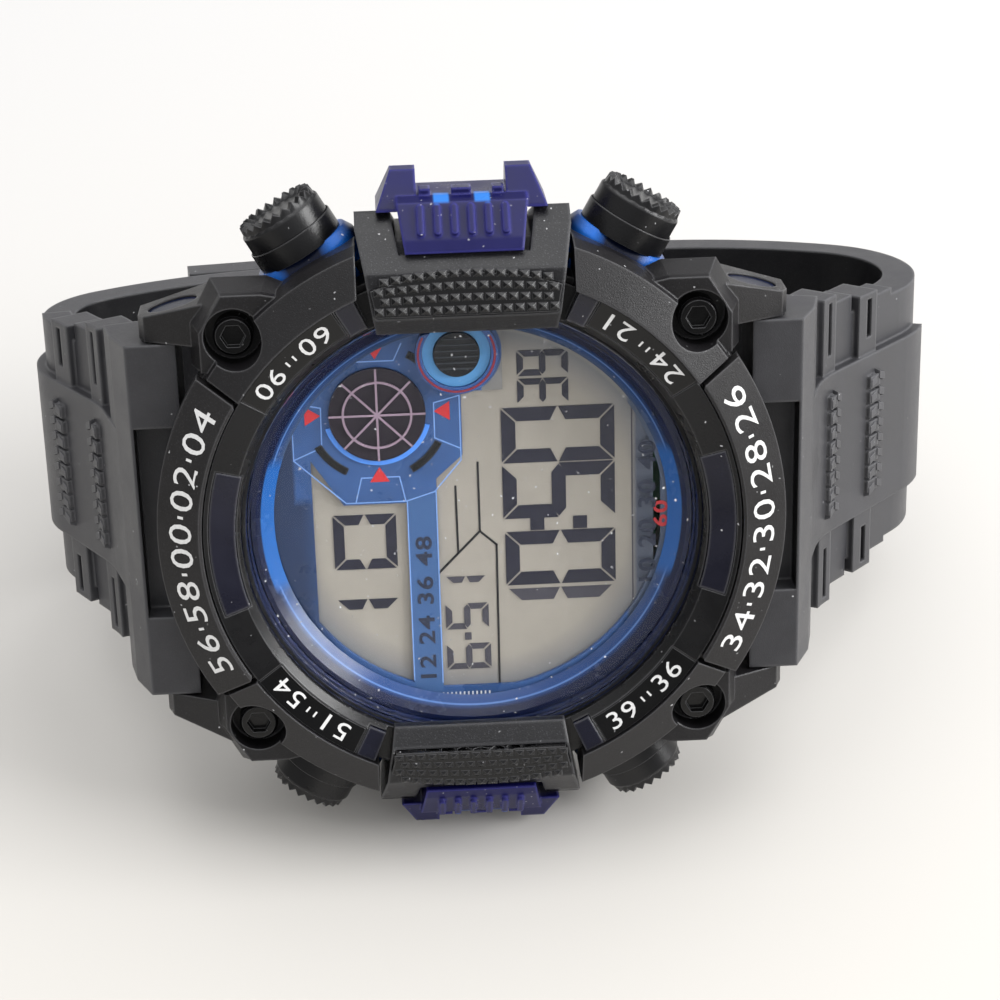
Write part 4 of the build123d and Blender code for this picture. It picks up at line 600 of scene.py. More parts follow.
class Look:
    """The finishes of this watch."""

    shell = Resin("shell_resin", tone(20, 19, 21), roughness=0.36, grain=0.1, depth=0.6, dust=0.2, glint=0.06)
    pad = Resin("pad_resin", tone(29, 28, 29), roughness=0.38, grain=0.09, depth=0.6, dust=0.22, glint=0.09,
                shine=0.28)
    guard = Resin("guard_resin", tone(19, 19, 22), roughness=0.34, grain=0.12, depth=0.7, dust=0.45, glint=0.13,
                  edge=0.4)
    grip = Resin("grip_resin", tone(10, 10, 12), roughness=0.22, grain=0.2, depth=0.15, edge=0.1)
    black = Resin("black_resin", tone(13, 13, 15), roughness=0.26, grain=0.2, depth=0.15, dust=0.16, edge=0.18)
    plate = Resin("plate_resin", tone(7, 7, 8), roughness=0.16, grain=0.3, depth=0.08, dust=0.16, edge=0.15)
    # Navy resin: painted sheen makes its edges pale blue; INSERT_ZONES paint light windows on it.
    navy = Resin("navy_resin", tone(14, 14, 66), roughness=0.3, grain=0.3, depth=0.1, clearness=0.06, dust=0.5,
                 shine=0.22, edge=0.35, edge_sheen=0.6, edge_sheen_tone=tone(66, 66, 150), zones=INSERT_ZONES)
    tab = Resin("tab_resin", tone(10, 11, 28), roughness=0.26, grain=0.3, depth=0.1, coat=0.2, edge=0.3)
    # Blue resin: painted sheen on its edges; COLLAR_ZONES paint glows on its collars.
    blue = Resin("blue_resin", tone(7, 15, 38), roughness=0.3, grain=0.4, depth=0.08, shine=0.2, clearness=0.06,
                 dust=0.4, edge=0.5, edge_sheen_tone=tone(34, 54, 112), zones=COLLAR_ZONES)
    flange = Resin("flange_resin", tone(66, 80, 104), roughness=0.22, grain=0.4, depth=0.08, shine=0.3, lift=1.0,
                   clearness=0.05, edge=0.0, zones=FLANGE_ZONES)
    strap = Resin("strap_resin", tone(52, 52, 55), roughness=0.4, grain=0.1, depth=0.5, dust=0.07, glint=0.05,
                  edge=0.35, zones=STRAP_ZONES)
    rope = Resin("rope_resin", tone(62, 62, 65), roughness=0.4, grain=0.1, depth=0.4, dust=0.05, edge=0.1)
    pusher = Resin("pusher_resin", tone(15, 15, 17), roughness=0.3, grain=0.16, depth=0.3, edge=0.12)
    bolt = Resin("bolt_resin", tone(8, 8, 9), roughness=0.22, grain=0.25, depth=0.12, dust=0.14, edge=0.12)
    seal = Resin("seal_rubber", tone(18, 18, 18), roughness=0.7, grain=0.12, dust=0.0, edge=0.0)
    mask = Resin("mask_print", tone(46, 76, 122), roughness=0.3, grain=0.5, depth=0.05, coat=0.1, edge=0.0,
                 zones=MASK_ZONES)
    disc = Resin("disc_print", tone(24, 17, 26), roughness=0.35, grain=0.5, depth=0.05, dust=0.2, edge=0.0)
    porthole = Resin("porthole_resin", tone(34, 72, 130), roughness=0.2, grain=0.5, depth=0.05, coat=0.3, edge=0.1)
    # Painted light: the pale blue of the porthole's bowl stands for the shine in it.
    glow = Resin("porthole_glow_resin", tone(80, 138, 186), roughness=0.3, grain=0.5, depth=0.05, dust=0.2, edge=0.0)
    core = Resin("porthole_core_resin", tone(3, 4, 6), roughness=0.3, grain=0.5, depth=0.05, dust=0.1, edge=0.0)
    display = Resin("display_glass", tone(148, 142, 131), grain=0.5, depth=0.03, dust=0.05, lift=1.12, edge=0.0,
                    zones=DISPLAY_ZONES)
    module = Resin("module_plastic", tone(190, 188, 180), grain=0.2, dust=0.0, edge=0.0)
    board = Resin("board_resin", tone(22, 84, 52), roughness=0.4, grain=0.3, dust=0.0, edge=0.0)
    chip = Resin("chip_resin", tone(20, 20, 20), roughness=0.55, grain=0.1, dust=0.0, edge=0.0)
    steel = Steel("brushed_steel", tone(196, 196, 198))
    cell = Steel("cell_steel", tone(214, 214, 216), roughness=0.16, depth=0.05)
    brass = Steel("contact_brass", tone(205, 168, 96), roughness=0.28, depth=0.08)
    crystal = Glass("crystal_glass", tone(252, 253, 255))
    white = Ink("white_ink", tone(214, 214, 214))
    segment = Ink("segment_ink", tone(24, 24, 40), roughness=0.35)
    faint = Ink("faint_segment", tone(62, 60, 68), roughness=0.4)
    line = Ink("line_ink", tone(10, 10, 14))
    dark_text = Ink("dark_text_ink", tone(34, 42, 62))
    red = Ink("red_ink", tone(196, 40, 44), roughness=0.4)
    deep_red = Ink("deep_red_ink", tone(132, 28, 46), roughness=0.4)
    # Painted highlight: the ribs on the black porthole core are grey for the light they catch.
    rib = Ink("rib_painted_highlight", tone(46, 50, 58), roughness=0.3)
    spoke = Ink("spoke_ink", tone(150, 128, 142))
    rim = Ink("rim_ink", tone(78, 142, 232), roughness=0.3)
    mask_edge = Ink("mask_edge_ink", tone(118, 156, 214), roughness=0.3)
    dust = DustFilm("dust_film", tone(225, 225, 228))


LOOK_NODES: dict[Finish, str] = {
    Look.steel: "case_back case_back_screws buzzer_spring battery_clip spring_bar_6 spring_bar_12 buckle_frame "
                "buckle_bar buckle_prong reset_clip start_clip light_clip mode_clip reset_spring start_spring "
                "light_spring mode_spring",
    Look.cell: "battery quartz_crystal",
    Look.brass: "buzzer_disc pusher_contacts",
    Look.seal: "case_back_gasket crystal_gasket contact_strips pusher_o_rings",
    Look.blue: "inner_case",
    Look.shell: "outer_shell",
    Look.bolt: "corner_bolts",
    Look.pad: "index_pad_6 index_pad_12",
    Look.black: "bezel_ring",
    Look.plate: "label_plates",
    Look.tab: "ring_tabs",
    Look.guard: "guard_top guard_bottom",
    Look.grip: "grip_panel_top grip_panel_bottom",
    Look.navy: "guard_insert_top guard_insert_bottom",
    Look.crystal: "crystal",
    Look.flange: "flange_ring",
    Look.mask: "dial_mask",
    Look.disc: "subdial_disc",
    Look.porthole: "porthole_ring",
    Look.core: "porthole_core",
    Look.display: "lcd_panel",
    Look.module: "backlight_panel module_frame",
    Look.board: "circuit_board",
    Look.chip: "driver_chip board_components",
    Look.pusher: "reset_pusher start_pusher light_pusher mode_pusher",
    Look.strap: "strap_buckle_half strap_tail_half strap_keeper",
}
NODE_LOOKS = {name: look for look, names in LOOK_NODES.items() for name in names.split()}


class Workshop:
    """Keeps each finish's material, built at its first use, and puts pieces into the scene."""

    def __init__(self) -> None:
        """Starts with no finish made."""
        self.effects = SharedEffects()
        self.made: dict[Finish, bpy.types.Material] = {}

    def material(self, finish: Finish) -> bpy.types.Material:
        """Gives the finish's material."""
        if finish not in self.made:
            self.made[finish] = finish.build(self.effects)
        return self.made[finish]

    def stand(self, mesh: bpy.types.Mesh, look: Finish, body: Body = Body.WATCH) -> bpy.types.Object:
        """Stands a mesh in the scene under its own name.

        Args:
            mesh: The mesh, in the room's axes.
            look: Its finish.
            body: The body that it rides on.

        Returns:
            The object.
        """
        mesh.materials.clear()
        mesh.materials.append(self.material(look))
        piece = bpy.data.objects.new(mesh.name, mesh)
        bpy.context.scene.collection.objects.link(piece)
        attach(piece, body.value)
        log.info("piece %s: %d faces", piece.name, len(mesh.polygons))
        return piece

    def piece(self, name: str, shape: Shape, look: Finish, slot: str, body: Body = Body.WATCH) -> None:
        """Puts points of the watch's axes and their faces into a piece of the scene.

        Args:
            name: The piece's name.
            shape: Rows of x, y, z in millimetres, and faces, anticlockwise from outside.
            look: Its finish.
            slot: Not used.
            body: The body that it rides on.
        """
        points, faces = shape
        mesh = bpy.data.meshes.new(name)
        mesh.from_pydata(to_room(points).tolist(), [], [tuple(int(corner) for corner in face) for face in faces])
        mesh.update()
        self.stand(mesh, look, body)


# ---- shapes


def merged(shapes: list[Shape]) -> Shape:
    """Joins shapes into one: their points in a row, their faces with the numbers moved on.

    Args:
        shapes: Points and faces of each.

    Returns:
        Points and faces of all.
    """
    faces, count = [], 0
    for points, own in shapes:
        faces += [tuple(corner + count for corner in face) for face in own]
        count += len(points)
    return np.concatenate([points for points, _ in shapes]), faces


def prisms(outlines: list[np.ndarray], low: float, high: float) -> Shape:
    """Thin upright prisms, one on each outline: its points at two heights, joined by side walls.

    Args:
        outlines: Closed outlines, rows of x, y.
        low: Height of the undersides.
        high: Height of the tops.

    Returns:
        Points and faces of all the prisms.
    """
    shapes = []
    for outline in outlines:
        twice_area = np.sum(outline[:, 0] * np.roll(outline[:, 1], -1) - outline[:, 1] * np.roll(outline[:, 0], -1))
        ring = outline if twice_area > 0 else outline[::-1]
        count = len(ring)
        points = np.concatenate([np.c_[ring, np.full(count, height)] for height in (low, high)])
        under, over = np.arange(count), np.arange(count, 2 * count)
        sides = np.stack([under, np.roll(under, -1), np.roll(over, -1), over], axis=1)
        shapes.append((points, [tuple(under[::-1]), tuple(over), *map(tuple, sides)]))
    return merged(shapes)


def ring_faces(rings: int, sides: int, closed: bool) -> Faces:
    """Quads between rings of points, each ring joined to the next.

    Args:
        rings: How many rings there are.
        sides: Points on each.
        closed: Whether the last ring is joined to the first.

    Returns:
        The quads.
    """
    index = np.arange(rings * sides).reshape(rings, sides)
    ends = np.roll(index, -1, axis=0)[: rings if closed else rings - 1]
    starts = index[: len(ends)]
    quads = np.stack([starts, np.roll(starts, -1, axis=1), np.roll(ends, -1, axis=1), ends], axis=2)
    return [tuple(quad) for quad in quads.reshape(-1, 4)]


def rectangle(left: float, low: float, right: float, high: float) -> np.ndarray:
    """Outline of a rectangle between two places in X and two in Y."""
    return np.array([[left, low], [right, low], [right, high], [left, high]])


def line_outlines(path: list[Pair], width: float) -> list[np.ndarray]:
    """Outlines of the straight runs of a drawn line, each a rectangle with its ends run on by half a width.

    Args:
        path: Corners of the line.
        width: The line's width.

    Returns:
        One outline a run.
    """
    corners = np.array(path, dtype=float)
    along = np.diff(corners, axis=0)
    along /= np.linalg.norm(along, axis=1)[:, None]
    side = np.stack([-along[:, 1], along[:, 0]], axis=1) * width / 2
    start, end = corners[:-1] - along * width / 2, corners[1:] + along * width / 2
    return list(np.stack([start - side, end - side, end + side, start + side], axis=1))


def turned(degrees: float) -> np.ndarray:
    """Unit vector at an angle from X."""
    return np.array([np.cos(np.radians(degrees)), np.sin(np.radians(degrees))])


def ring_outline(centre: Pair, inner: float, outer: float, start: float, end: float, count: int = 24) -> np.ndarray:
    """Outline of a piece of a ring between two angles: out along one circle and back along the other."""
    turn = turned(np.linspace(start, end, count)).T
    return np.concatenate([turn * outer, turn[::-1] * inner]) + np.array(centre)


def full_ring(centre: Pair, inner: float, outer: float) -> list[np.ndarray]:
    """Outlines of the two halves of a full ring."""
    return [ring_outline(centre, inner, outer, 0, 180), ring_outline(centre, inner, outer, 180, 360)]


@dataclass
class Numerals:
    """Raised or printed numerals, from the plain built-in font, as flat letter shapes with a thickness."""

    text: str
    height: float
    thickness: float
    stretch: float
    bold: float = 0.0
    spacing: float = 1.1

    def shape(self) -> Shape:
        """Sets the text on a straight line, centred both ways.

        Returns:
            Points (along, up, out) in millimetres and faces.
        """
        curve = bpy.data.curves.new("numerals", "FONT")
        curve.body = self.text
        curve.align_x = curve.align_y = "CENTER"
        curve.resolution_u = 3
        curve.space_character = self.spacing
        curve.offset = self.bold
        curve.extrude = 0.5
        holder = bpy.data.objects.new("numerals", curve)
        mesh = bpy.data.meshes.new_from_object(holder)
        points = np.empty(len(mesh.vertices) * 3)
        mesh.vertices.foreach_get("co", points)
        points = points.reshape(-1, 3)
        points[:, :2] -= (points[:, :2].max(axis=0) + points[:, :2].min(axis=0)) / 2
        scale = self.height / np.ptp(points[:, 1])
        points *= (scale * self.stretch, scale, self.thickness)
        faces = [tuple(face.vertices) for face in mesh.polygons]
        bpy.data.objects.remove(holder)
        bpy.data.meshes.remove(mesh)
        bpy.data.curves.remove(curve)
        return points, faces


@dataclass
class Cone:
    """Sloping face round the watch's axis, given by two radii and their heights."""

    inner: float
    inner_height: float
    outer: float
    outer_height: float

    @property
    def slope(self) -> float:
        """Angle of the face above the level, outwards."""
        return np.arctan2(self.outer_height - self.inner_height, self.outer - self.inner)

    def wrap(self, shape: Shape, angle: float, middle: float, tops_out: bool) -> Shape:
        """Bends flat points onto the cone: along becomes an angle, up a way along the slope, out its normal.

        Args:
            shape: Rows of along, up, out, and faces.
            angle: Angle of the points' centre in degrees, from 6 o'clock towards 3.
            middle: Radius of the points' centre.
            tops_out: Whether the tops point away from the axis.

        Returns:
            Rows of x, y, z in the watch's axes, and the faces.
        """
        points, faces = shape
        way = 1.0 if tops_out else -1.0
        radius = middle + way * points[:, 1] * np.cos(self.slope) - points[:, 2] * np.sin(self.slope)
        share = (middle - self.inner) / (self.outer - self.inner)
        base = self.inner_height + share * (self.outer_height - self.inner_height)
        height = base + way * points[:, 1] * np.sin(self.slope) + points[:, 2] * np.cos(self.slope)
        turn = np.radians(angle) - way * points[:, 0] / middle
        return np.stack([radius * np.cos(turn), radius * np.sin(turn), height], axis=1), faces


# ---- the watch's own pieces


@dataclass
class Display:
    """Dark segments of the liquid crystal display, read with 12 o'clock up.

    A digit is a sign, X of its top and of its foot, Y of its left and of its right side, and the width
    of its bars. A dot is a rectangle.
    """

    low: float = 9.73
    high: float = 9.76
    gap: float = 0.10
    shapes: dict[str, str] = field(
        default_factory=lambda: {"0": "abcdef", "1": "bc", "3": "abgcd", "5": "afgcd", "6": "afgecd", "9": "abcdfg"}
    )
    lit: Rows = (
        ("0", 2.4, 10.75, 3.75, 8.05, 1.05), ("5", 2.4, 10.75, -0.65, 3.65, 1.05), ("0", 2.5, 10.75, -6.0, -1.7, 1.05),
        ("9", 3.65, 7.4, 10.45, 12.4, 0.48), ("3", 3.65, 7.4, 8.3, 10.25, 0.48),
        ("0", -10.3, -5.6, -4.15, 0.2, 0.8), ("1", -10.3, -5.6, -9.5, -6.6, 0.8),
    )
    lit_dots: Rows = ((4.4, -1.62, 5.45, -0.62), (7.6, -1.62, 8.65, -0.62))
    faint: Rows = (
        ("1", 2.6, 10.55, -9.1, -6.3, 0.95), ("1", -2.1, 1.0, -6.9, -5.1, 0.5), ("5", -2.15, 1.1, -9.4, -7.3, 0.48),
        ("6", -2.15, 1.2, -12.7, -10.6, 0.48),
    )
    faint_dots: Rows = ((-0.75, -10.3, -0.25, -9.7),)

    def bars(self, wide: float, tall: float, stroke: float) -> dict[str, np.ndarray]:
        """Outlines of a digit's bars, each with its ends cut at 45 degrees.

        Args:
            wide: The digit's width.
            tall: The digit's height.
            stroke: Width of the bars.

        Returns:
            Letters a to g with rows of right and up, from the digit's lower left corner.
        """
        gap, half, thin, cut = self.gap, tall / 2, stroke / 2, stroke * 0.6 + self.gap
        top = np.array([[gap, tall], [wide - gap, tall], [wide - stroke - gap, tall - stroke],
                        [stroke + gap, tall - stroke]])
        left = np.array([[0, tall - gap], [stroke, tall - stroke - gap], [stroke, half + thin + gap / 2],
                         [0, half + gap / 2]])
        middle = np.array([[gap, half], [cut, half + thin], [wide - cut, half + thin], [wide - gap, half],
                           [wide - cut, half - thin], [cut, half - thin]])
        across, upside = np.array([-1.0, 1.0]), np.array([1.0, -1.0])
        to_right, to_low = np.array([wide, 0.0]), np.array([0.0, tall])
        return {"a": top, "b": left * across + to_right, "c": left * across * upside + to_right + to_low,
                "d": top * upside + to_low, "e": left * upside + to_low, "f": left, "g": middle}

    def digit(self, sign: str, top: float, low: float, start: float, end: float, stroke: float) -> list[np.ndarray]:
        """Outlines of one digit in the watch's axes, one a bar."""
        bars = self.bars(end - start, low - top, stroke)
        return [np.stack([low - bars[name][:, 1], start + bars[name][:, 0]], axis=1) for name in self.shapes[sign]]

    def build(self, shop: Workshop) -> None:
        """Makes the lit segments and the half-lit ones.

        Args:
            shop: Keeper of the materials.
        """
        for name, digits, dots, look in (
            ("display_segments", self.lit, self.lit_dots, Look.segment),
            ("display_faint_segments", self.faint, self.faint_dots, Look.faint),
        ):
            outlines = [bar for row in digits for bar in self.digit(*row)] + [rectangle(*row) for row in dots]
            shop.piece(name, prisms(outlines, self.low, self.high), look, "lcd_glass")


@dataclass
class DialPrint:
    """Print on the mask, the sub-dial, the porthole and the display: lines, rings, pointers and numerals, with the
    porthole's bowl and ribs in painted light.

    A run holds the corners of a drawn line. A ring has two radii, the slots also half of their angle and
    the bowl its two heights. A pointer has the radii of its tip and its foot and half of its width, and a
    spoke its reach and its width.
    """

    mask_face: float = 10.05
    disc_face: float = 10.40
    glass_face: float = 9.72
    hole_face: float = 10.81
    ink: float = 0.03
    subdial: Pair = (-6.65, 8.16)
    edge_runs: Rows = (
        ((-12.9, 12.3), (-12.9, 4.75), (-9.2, 1.25), (-4.75, 1.25), (-2.65, 1.9), (-0.62, 4.3), (-0.62, 9.3)),
        ((-12.9, 9.2), (-10.75, 8.75), (-10.8, 5.7), (-12.9, 4.8)),
        ((-0.62, 9.3), (-2.5, 8.8), (-2.5, 6.1), (-0.62, 5.2)),
        ((-8.5, 1.25), (-8.0, 3.2), (-5.2, 3.2), (-4.8, 1.25)),
        ((-8.6, 13.4), (-8.1, 12.15), (-5.3, 12.15), (-4.7, 13.4)),
        ((-4.7, 1.2), (-4.7, -13.3)),
        ((-2.55, 1.9), (-2.55, -13.6)),
    )
    glass_runs: Rows = (
        (((0.6, 3.9), (0.62, -1.52), (1.84, -2.65), (1.79, -14.0)), 0.16),
        (((-1.1, 2.1), (-1.05, -3.05)), 0.16),
        (((-2.6, 0.36), (-2.6, -4.8), (0.62, -1.52)), 0.18),
    )
    edge_line: Rows = ((12.03, 8.0), (12.05, -8.8))
    slots: tuple[float, float, float] = (4.72, 5.3, 17)
    pointer: tuple[float, float, float] = (4.15, 5.3, 0.72)
    spoke: Pair = (3.45, 0.16)
    hub: Pair = (2.42, 2.58)
    rim: Pair = (3.6, 3.95)
    hole_line: Pair = (2.70, 2.86)
    bowl: tuple[float, float, float, float] = (1.72, 2.48, 10.2, 10.5)
    rib_places: tuple[float, ...] = (-1.05, -0.6, -0.15, 0.3, 0.75, 1.2)
    rib_reach: float = 1.6
    rib_half: float = 0.05

    def pointers(self) -> list[np.ndarray]:
        """The four triangles that point to the sub-dial's centre: a tip and two far corners each."""
        tip, far, half = self.pointer
        outlines = []
        for angle in (0, 90, 180, 270):
            out, side = turned(angle), turned(angle + 90)
            outlines.append(self.subdial + np.array([out * tip, out * far + side * half, out * far - side * half]))
        return outlines

    def ribs(self) -> list[np.ndarray]:
        """Bars across the porthole's core, each as long as the circle is wide at its place."""
        (x, y), half, outlines = PORTHOLE, self.rib_half, []
        for off in self.rib_places:
            reach = (self.rib_reach**2 - off**2) ** 0.5
            outlines.append(rectangle(x - reach, y + off - half, x + reach, y + off + half))
        return outlines

    def numerals(self, text: str, height: float, place: Pair, stretch: float) -> Shape:
        """Numerals read with 12 o'clock up, at a place on the mask.

        Args:
            text: Numerals.
            height: Their height.
            place: X and Y of their middle.
            stretch: Width against the font's own.

        Returns:
            Points in the watch's axes and faces.
        """
        points, faces = Numerals(text, height, self.ink / 2, stretch, 0.02).shape()
        rows = [place[0] - points[:, 1], place[1] + points[:, 0], self.mask_face + self.ink + points[:, 2]]
        return np.stack(rows, axis=1), faces

    def build(self, shop: Workshop) -> None:
        """Makes every printed piece, and the porthole's bowl and ribs in painted light.

        Args:
            shop: Keeper of the materials.
        """
        face, ink, disc, glass, hole = self.mask_face, self.ink, self.disc_face, self.glass_face, self.hole_face
        low, centre = face + ink / 3, self.subdial
        edges = [outline for run in self.edge_runs for outline in line_outlines(run, 0.09)]
        near, far, half = self.slots
        slots = [ring_outline(centre, near, far, middle - half, middle + half) for middle in (45, 135, 225, 315)]
        reach, width = self.spoke
        spokes = [line_outlines([centre + reach * turned(angle), centre - reach * turned(angle)], width)[0]
                  for angle in (0, 45, 90, 135)]
        rim = [ring_outline(centre, *self.rim, 195, 345, 40)]
        line = [ring_outline(PORTHOLE, *self.hole_line, start, start + 60) for start in (150, 210, 270, 330)]
        lines = [outline for run, width in self.glass_runs for outline in line_outlines(run, width)]
        ticks = [rectangle(x, -14.9, x + 0.12, -14.45) for x in np.arange(-2.6, 1.2, 0.32)]
        for name, outlines, foot, top, look, slot in (
            ("mask_edges", edges, low, face + ink, Look.mask_edge, "mask_print"),
            ("subdial_slots", slots, low, face + ink * 1.5, Look.plate, "dial_dark"),
            ("subdial_pointers", self.pointers(), low, face + ink * 1.5, Look.red, "mask_print"),
            ("subdial_spokes", spokes, disc + 0.125, disc + 0.15, Look.spoke, "dial_dark"),
            ("subdial_ring", full_ring(centre, *self.hub), disc + 0.01, disc + 0.16, Look.spoke, "dial_dark"),
            ("subdial_rim", rim, low, face + 0.16, Look.rim, "blue_resin"),
            ("porthole_line", line, hole, hole + ink, Look.deep_red, "blue_resin"),
            ("porthole_bowl", full_ring(PORTHOLE, *self.bowl[:2]), *self.bowl[2:], Look.glow, "blue_resin"),
            ("porthole_ribs", self.ribs(), hole - 0.02, hole + 0.05, Look.rib, "dial_dark"),
            ("display_lines", lines, glass, glass + 0.02, Look.line, "lcd_glass"),
            ("display_edge_line", line_outlines(self.edge_line, 0.10), glass, glass + 0.02, Look.faint, "lcd_glass"),
            ("mask_ticks", ticks, face + 0.02, face + 0.05, Look.white, "mask_print"),
        ):
            shop.piece(name, prisms(outlines, foot, top), look, slot)
        for name, text, height, place, stretch, look in (
            ("strip_numerals", "12 24 36 48", 1.25, (-3.62, -7.4), 1.35, Look.dark_text),
            ("edge_numerals", "10 20 30 40", 1.35, (13.1, -0.4), 1.2, Look.dark_text),
            ("edge_mark", "60", 1.1, (14.1, -0.6), 1.4, Look.red),
        ):
            shop.piece(name, self.numerals(text, height, place, stretch), look, "mask_print")


@dataclass
class BezelNumerals:
    """White numerals and ticks on the two index pads and the four label plates."""

    pad: Cone = field(default_factory=lambda: Cone(19.6, 15.1, 23.0, 13.5))
    plate: Cone = field(default_factory=lambda: Cone(17.5, 14.2, 19.6, 14.6))
    lift: float = 0.015

    def numeral(self, cone: Cone, text: str, height: float, radius: float, angle: float, tops_out: bool) -> Shape:
        """One numeral bent onto a cone.

        Args:
            cone: The sloping face.
            text: The numeral.
            height: Its height.
            radius: Radius of its middle.
            angle: Its angle in degrees.
            tops_out: Whether its top points outwards.

        Returns:
            Points in the watch's axes and faces.
        """
        points, faces = Numerals(text, height, 0.02, 1.3).shape()
        points[:, 2] += self.lift + 0.01
        return cone.wrap((points, faces), angle, radius, tops_out)

    def ticks(self, cone: Cone, angles: np.ndarray, inner: float, outer: float, width: float) -> Shape:
        """Short radial ticks on a cone, each a thin prism.

        Args:
            cone: The sloping face.
            angles: Their angles in degrees.
            inner: Inner radius.
            outer: Outer radius.
            width: Their width.

        Returns:
            Points in the watch's axes and faces.
        """
        reach = (outer - inner) / 2 / np.cos(cone.slope)
        bar = prisms([rectangle(-width / 2, -reach, width / 2, reach)], self.lift - 0.01, self.lift + 0.03)
        return merged([cone.wrap(bar, angle, (inner + outer) / 2, True) for angle in angles])

    def build(self, shop: Workshop) -> None:
        """Makes the numerals and the ticks between them.

        Args:
            shop: Keeper of the materials.
        """
        pad = (self.pad, 1.85, 21.25, (21.05, 21.45, 0.2), "pad_resin")
        plate = (self.plate, 1.35, 18.52, (18.3, 18.75, 0.14), "black_resin")
        for name, texts, angles, tops_out, (cone, height, radius, tick, slot) in (
            ("pad_12_numerals", "56 58 00 02 04", (204, 192, 180, 168, 156), True, pad),
            ("pad_6_numerals", "34 32 30 28 26", (-24, -12, 0, 12, 24), False, pad),
            ("plate_numerals_start", "06 09", (139.5, 125.5), True, plate),
            ("plate_numerals_reset", "21 24", (54.5, 40.5), False, plate),
            ("plate_numerals_mode", "36 39", (-40.5, -54.5), False, plate),
            ("plate_numerals_light", "51 54", (-125.5, -139.5), True, plate),
        ):
            shapes = [self.numeral(cone, text, height, radius, angle, tops_out)
                      for text, angle in zip(texts.split(), angles)]
            shop.piece(name, merged(shapes), Look.white, slot)
            middles = (np.array(angles[:-1]) + np.array(angles[1:])) / 2
            if cone is self.plate:
                middles = np.array([middles[0] - 1.0, middles[0] + 1.0])
            shop.piece(name.replace("numerals", "ticks"), self.ticks(cone, middles, *tick), Look.white, slot)


@dataclass
class GripStuds:
    """Field of little pyramids on each grip panel, in rows that are half a pitch apart from one to the next."""

    crest: Pair = (16.8, 15.3)
    brow: Pair = (19.8, 14.64)
    face: float = 0.385
    plate_low: float = 0.24
    plate_high: float = 0.4
    half: float = 6.15
    pitch: float = 0.82
    rows: int = 4
    row_pitch: float = 0.66
    first_row: float = 0.42
    base_half: Pair = (0.36, 0.30)
    rise: float = 0.22
    arch: float = 0.55
    foot: float = 6.3
    corner: Pair = (6.7, 1.88)
    top: float = 2.96

    def studs(self) -> Shape:
        """Pyramids of five points each, along the guard and up its slope, arched as the panel is.

        Returns:
            Rows of along, up and out of the panel, and faces.
        """
        wide, tall = self.base_half
        stud = np.array([[-wide, -tall, 0], [wide, -tall, 0], [wide, tall, 0], [-wide, tall, 0], [0, 0, self.rise]])
        faces = [(0, 1, 4), (1, 2, 4), (2, 3, 4), (3, 0, 4), (3, 2, 1, 0)]
        shapes = []
        for row in range(self.rows):
            along = np.arange(-self.half + (row % 2) * self.pitch / 2, self.half + 0.01, self.pitch)
            bow = self.arch * row / (self.rows - 1) * (1 - (along / self.half) ** 2)
            ups = self.first_row + row * self.row_pitch + bow
            shapes += [(stud + np.array([place, up, self.face]), faces) for place, up in zip(along, ups)]
        return merged(shapes)

    def plate(self) -> Shape:
        """Plate under the studs: straight at the lip, an arc at the brow.

        Returns:
            Rows of along, up and out of the panel, and faces.
        """
        along = np.linspace(self.corner[0], -self.corner[0], 25)
        arc = self.corner[1] + (self.top - self.corner[1]) * (1 - (along / self.corner[0]) ** 2)
        outline = np.concatenate([np.stack([along, arc], axis=1), [[-self.foot, 0.03], [self.foot, 0.03]]])
        return prisms([outline], self.plate_low, self.plate_high)

    def placed(self, points: np.ndarray, way: int) -> np.ndarray:
        """Points of the panel's own plane in the watch's axes.

        Args:
            points: Rows of along, up the panel and out of it.
            way: 1 for the upper guard and -1 for the lower one.

        Returns:
            Rows of x, y, z.
        """
        slope = np.array(self.brow) - np.array(self.crest)
        slope /= np.linalg.norm(slope)
        out = np.array([-slope[1], slope[0]])
        spot = np.array(self.crest) + points[:, 1:2] * slope + points[:, 2:3] * out
        return np.stack([points[:, 0], way * spot[:, 0], spot[:, 1]], axis=1)

    def build(self, shop: Workshop) -> None:
        """Makes the studs and their plates on the upper and the lower guard.

        Args:
            shop: Keeper of the materials.
        """
        for name, (points, faces) in (("grip_studs", self.studs()), ("grip_base", self.plate())):
            for side, way in (("top", 1), ("bottom", -1)):
                shape = self.placed(points, way), [face[::way] for face in faces]
                shop.piece(f"{name}_{side}", shape, Look.grip, "grip_resin")


@dataclass
class BandRun:
    """Outer line of one strap half in the side view: a straight, an arc that turns outwards, then a straight."""

    side: int
    first_run: float
    flare_heading: float
    start: Pair = (22.8, 5.8)
    start_heading: float = 17.0
    flare_radius: float = 14.0

    def at(self, place: np.ndarray, out: np.ndarray) -> np.ndarray:
        """Points at places along the run and out from its inner face.

        The heading grows from the start's to the flare's over the arc, and the point is the sum of the
        three stretches' own steps.

        Args:
            place: Distance along the run in millimetres.
            out: Distance out from the inner face.

        Returns:
            Rows of x and z.
        """
        low, high = np.radians([self.start_heading, self.flare_heading])
        arc = (high - low) * self.flare_radius
        first = np.clip(place, 0, self.first_run)
        turn = low + np.clip(place - self.first_run, 0, arc) / self.flare_radius
        last = np.clip(place - self.first_run - arc, 0, None)
        x = self.start[0] + first * np.sin(low) + self.flare_radius * (np.cos(low) - np.cos(turn)) + last * np.sin(high)
        z = self.start[1] - first * np.cos(low) - self.flare_radius * (np.sin(turn) - np.sin(low)) - last * np.cos(high)
        return np.stack([self.side * (x + out * np.cos(turn)), z + out * np.sin(turn)], axis=-1)


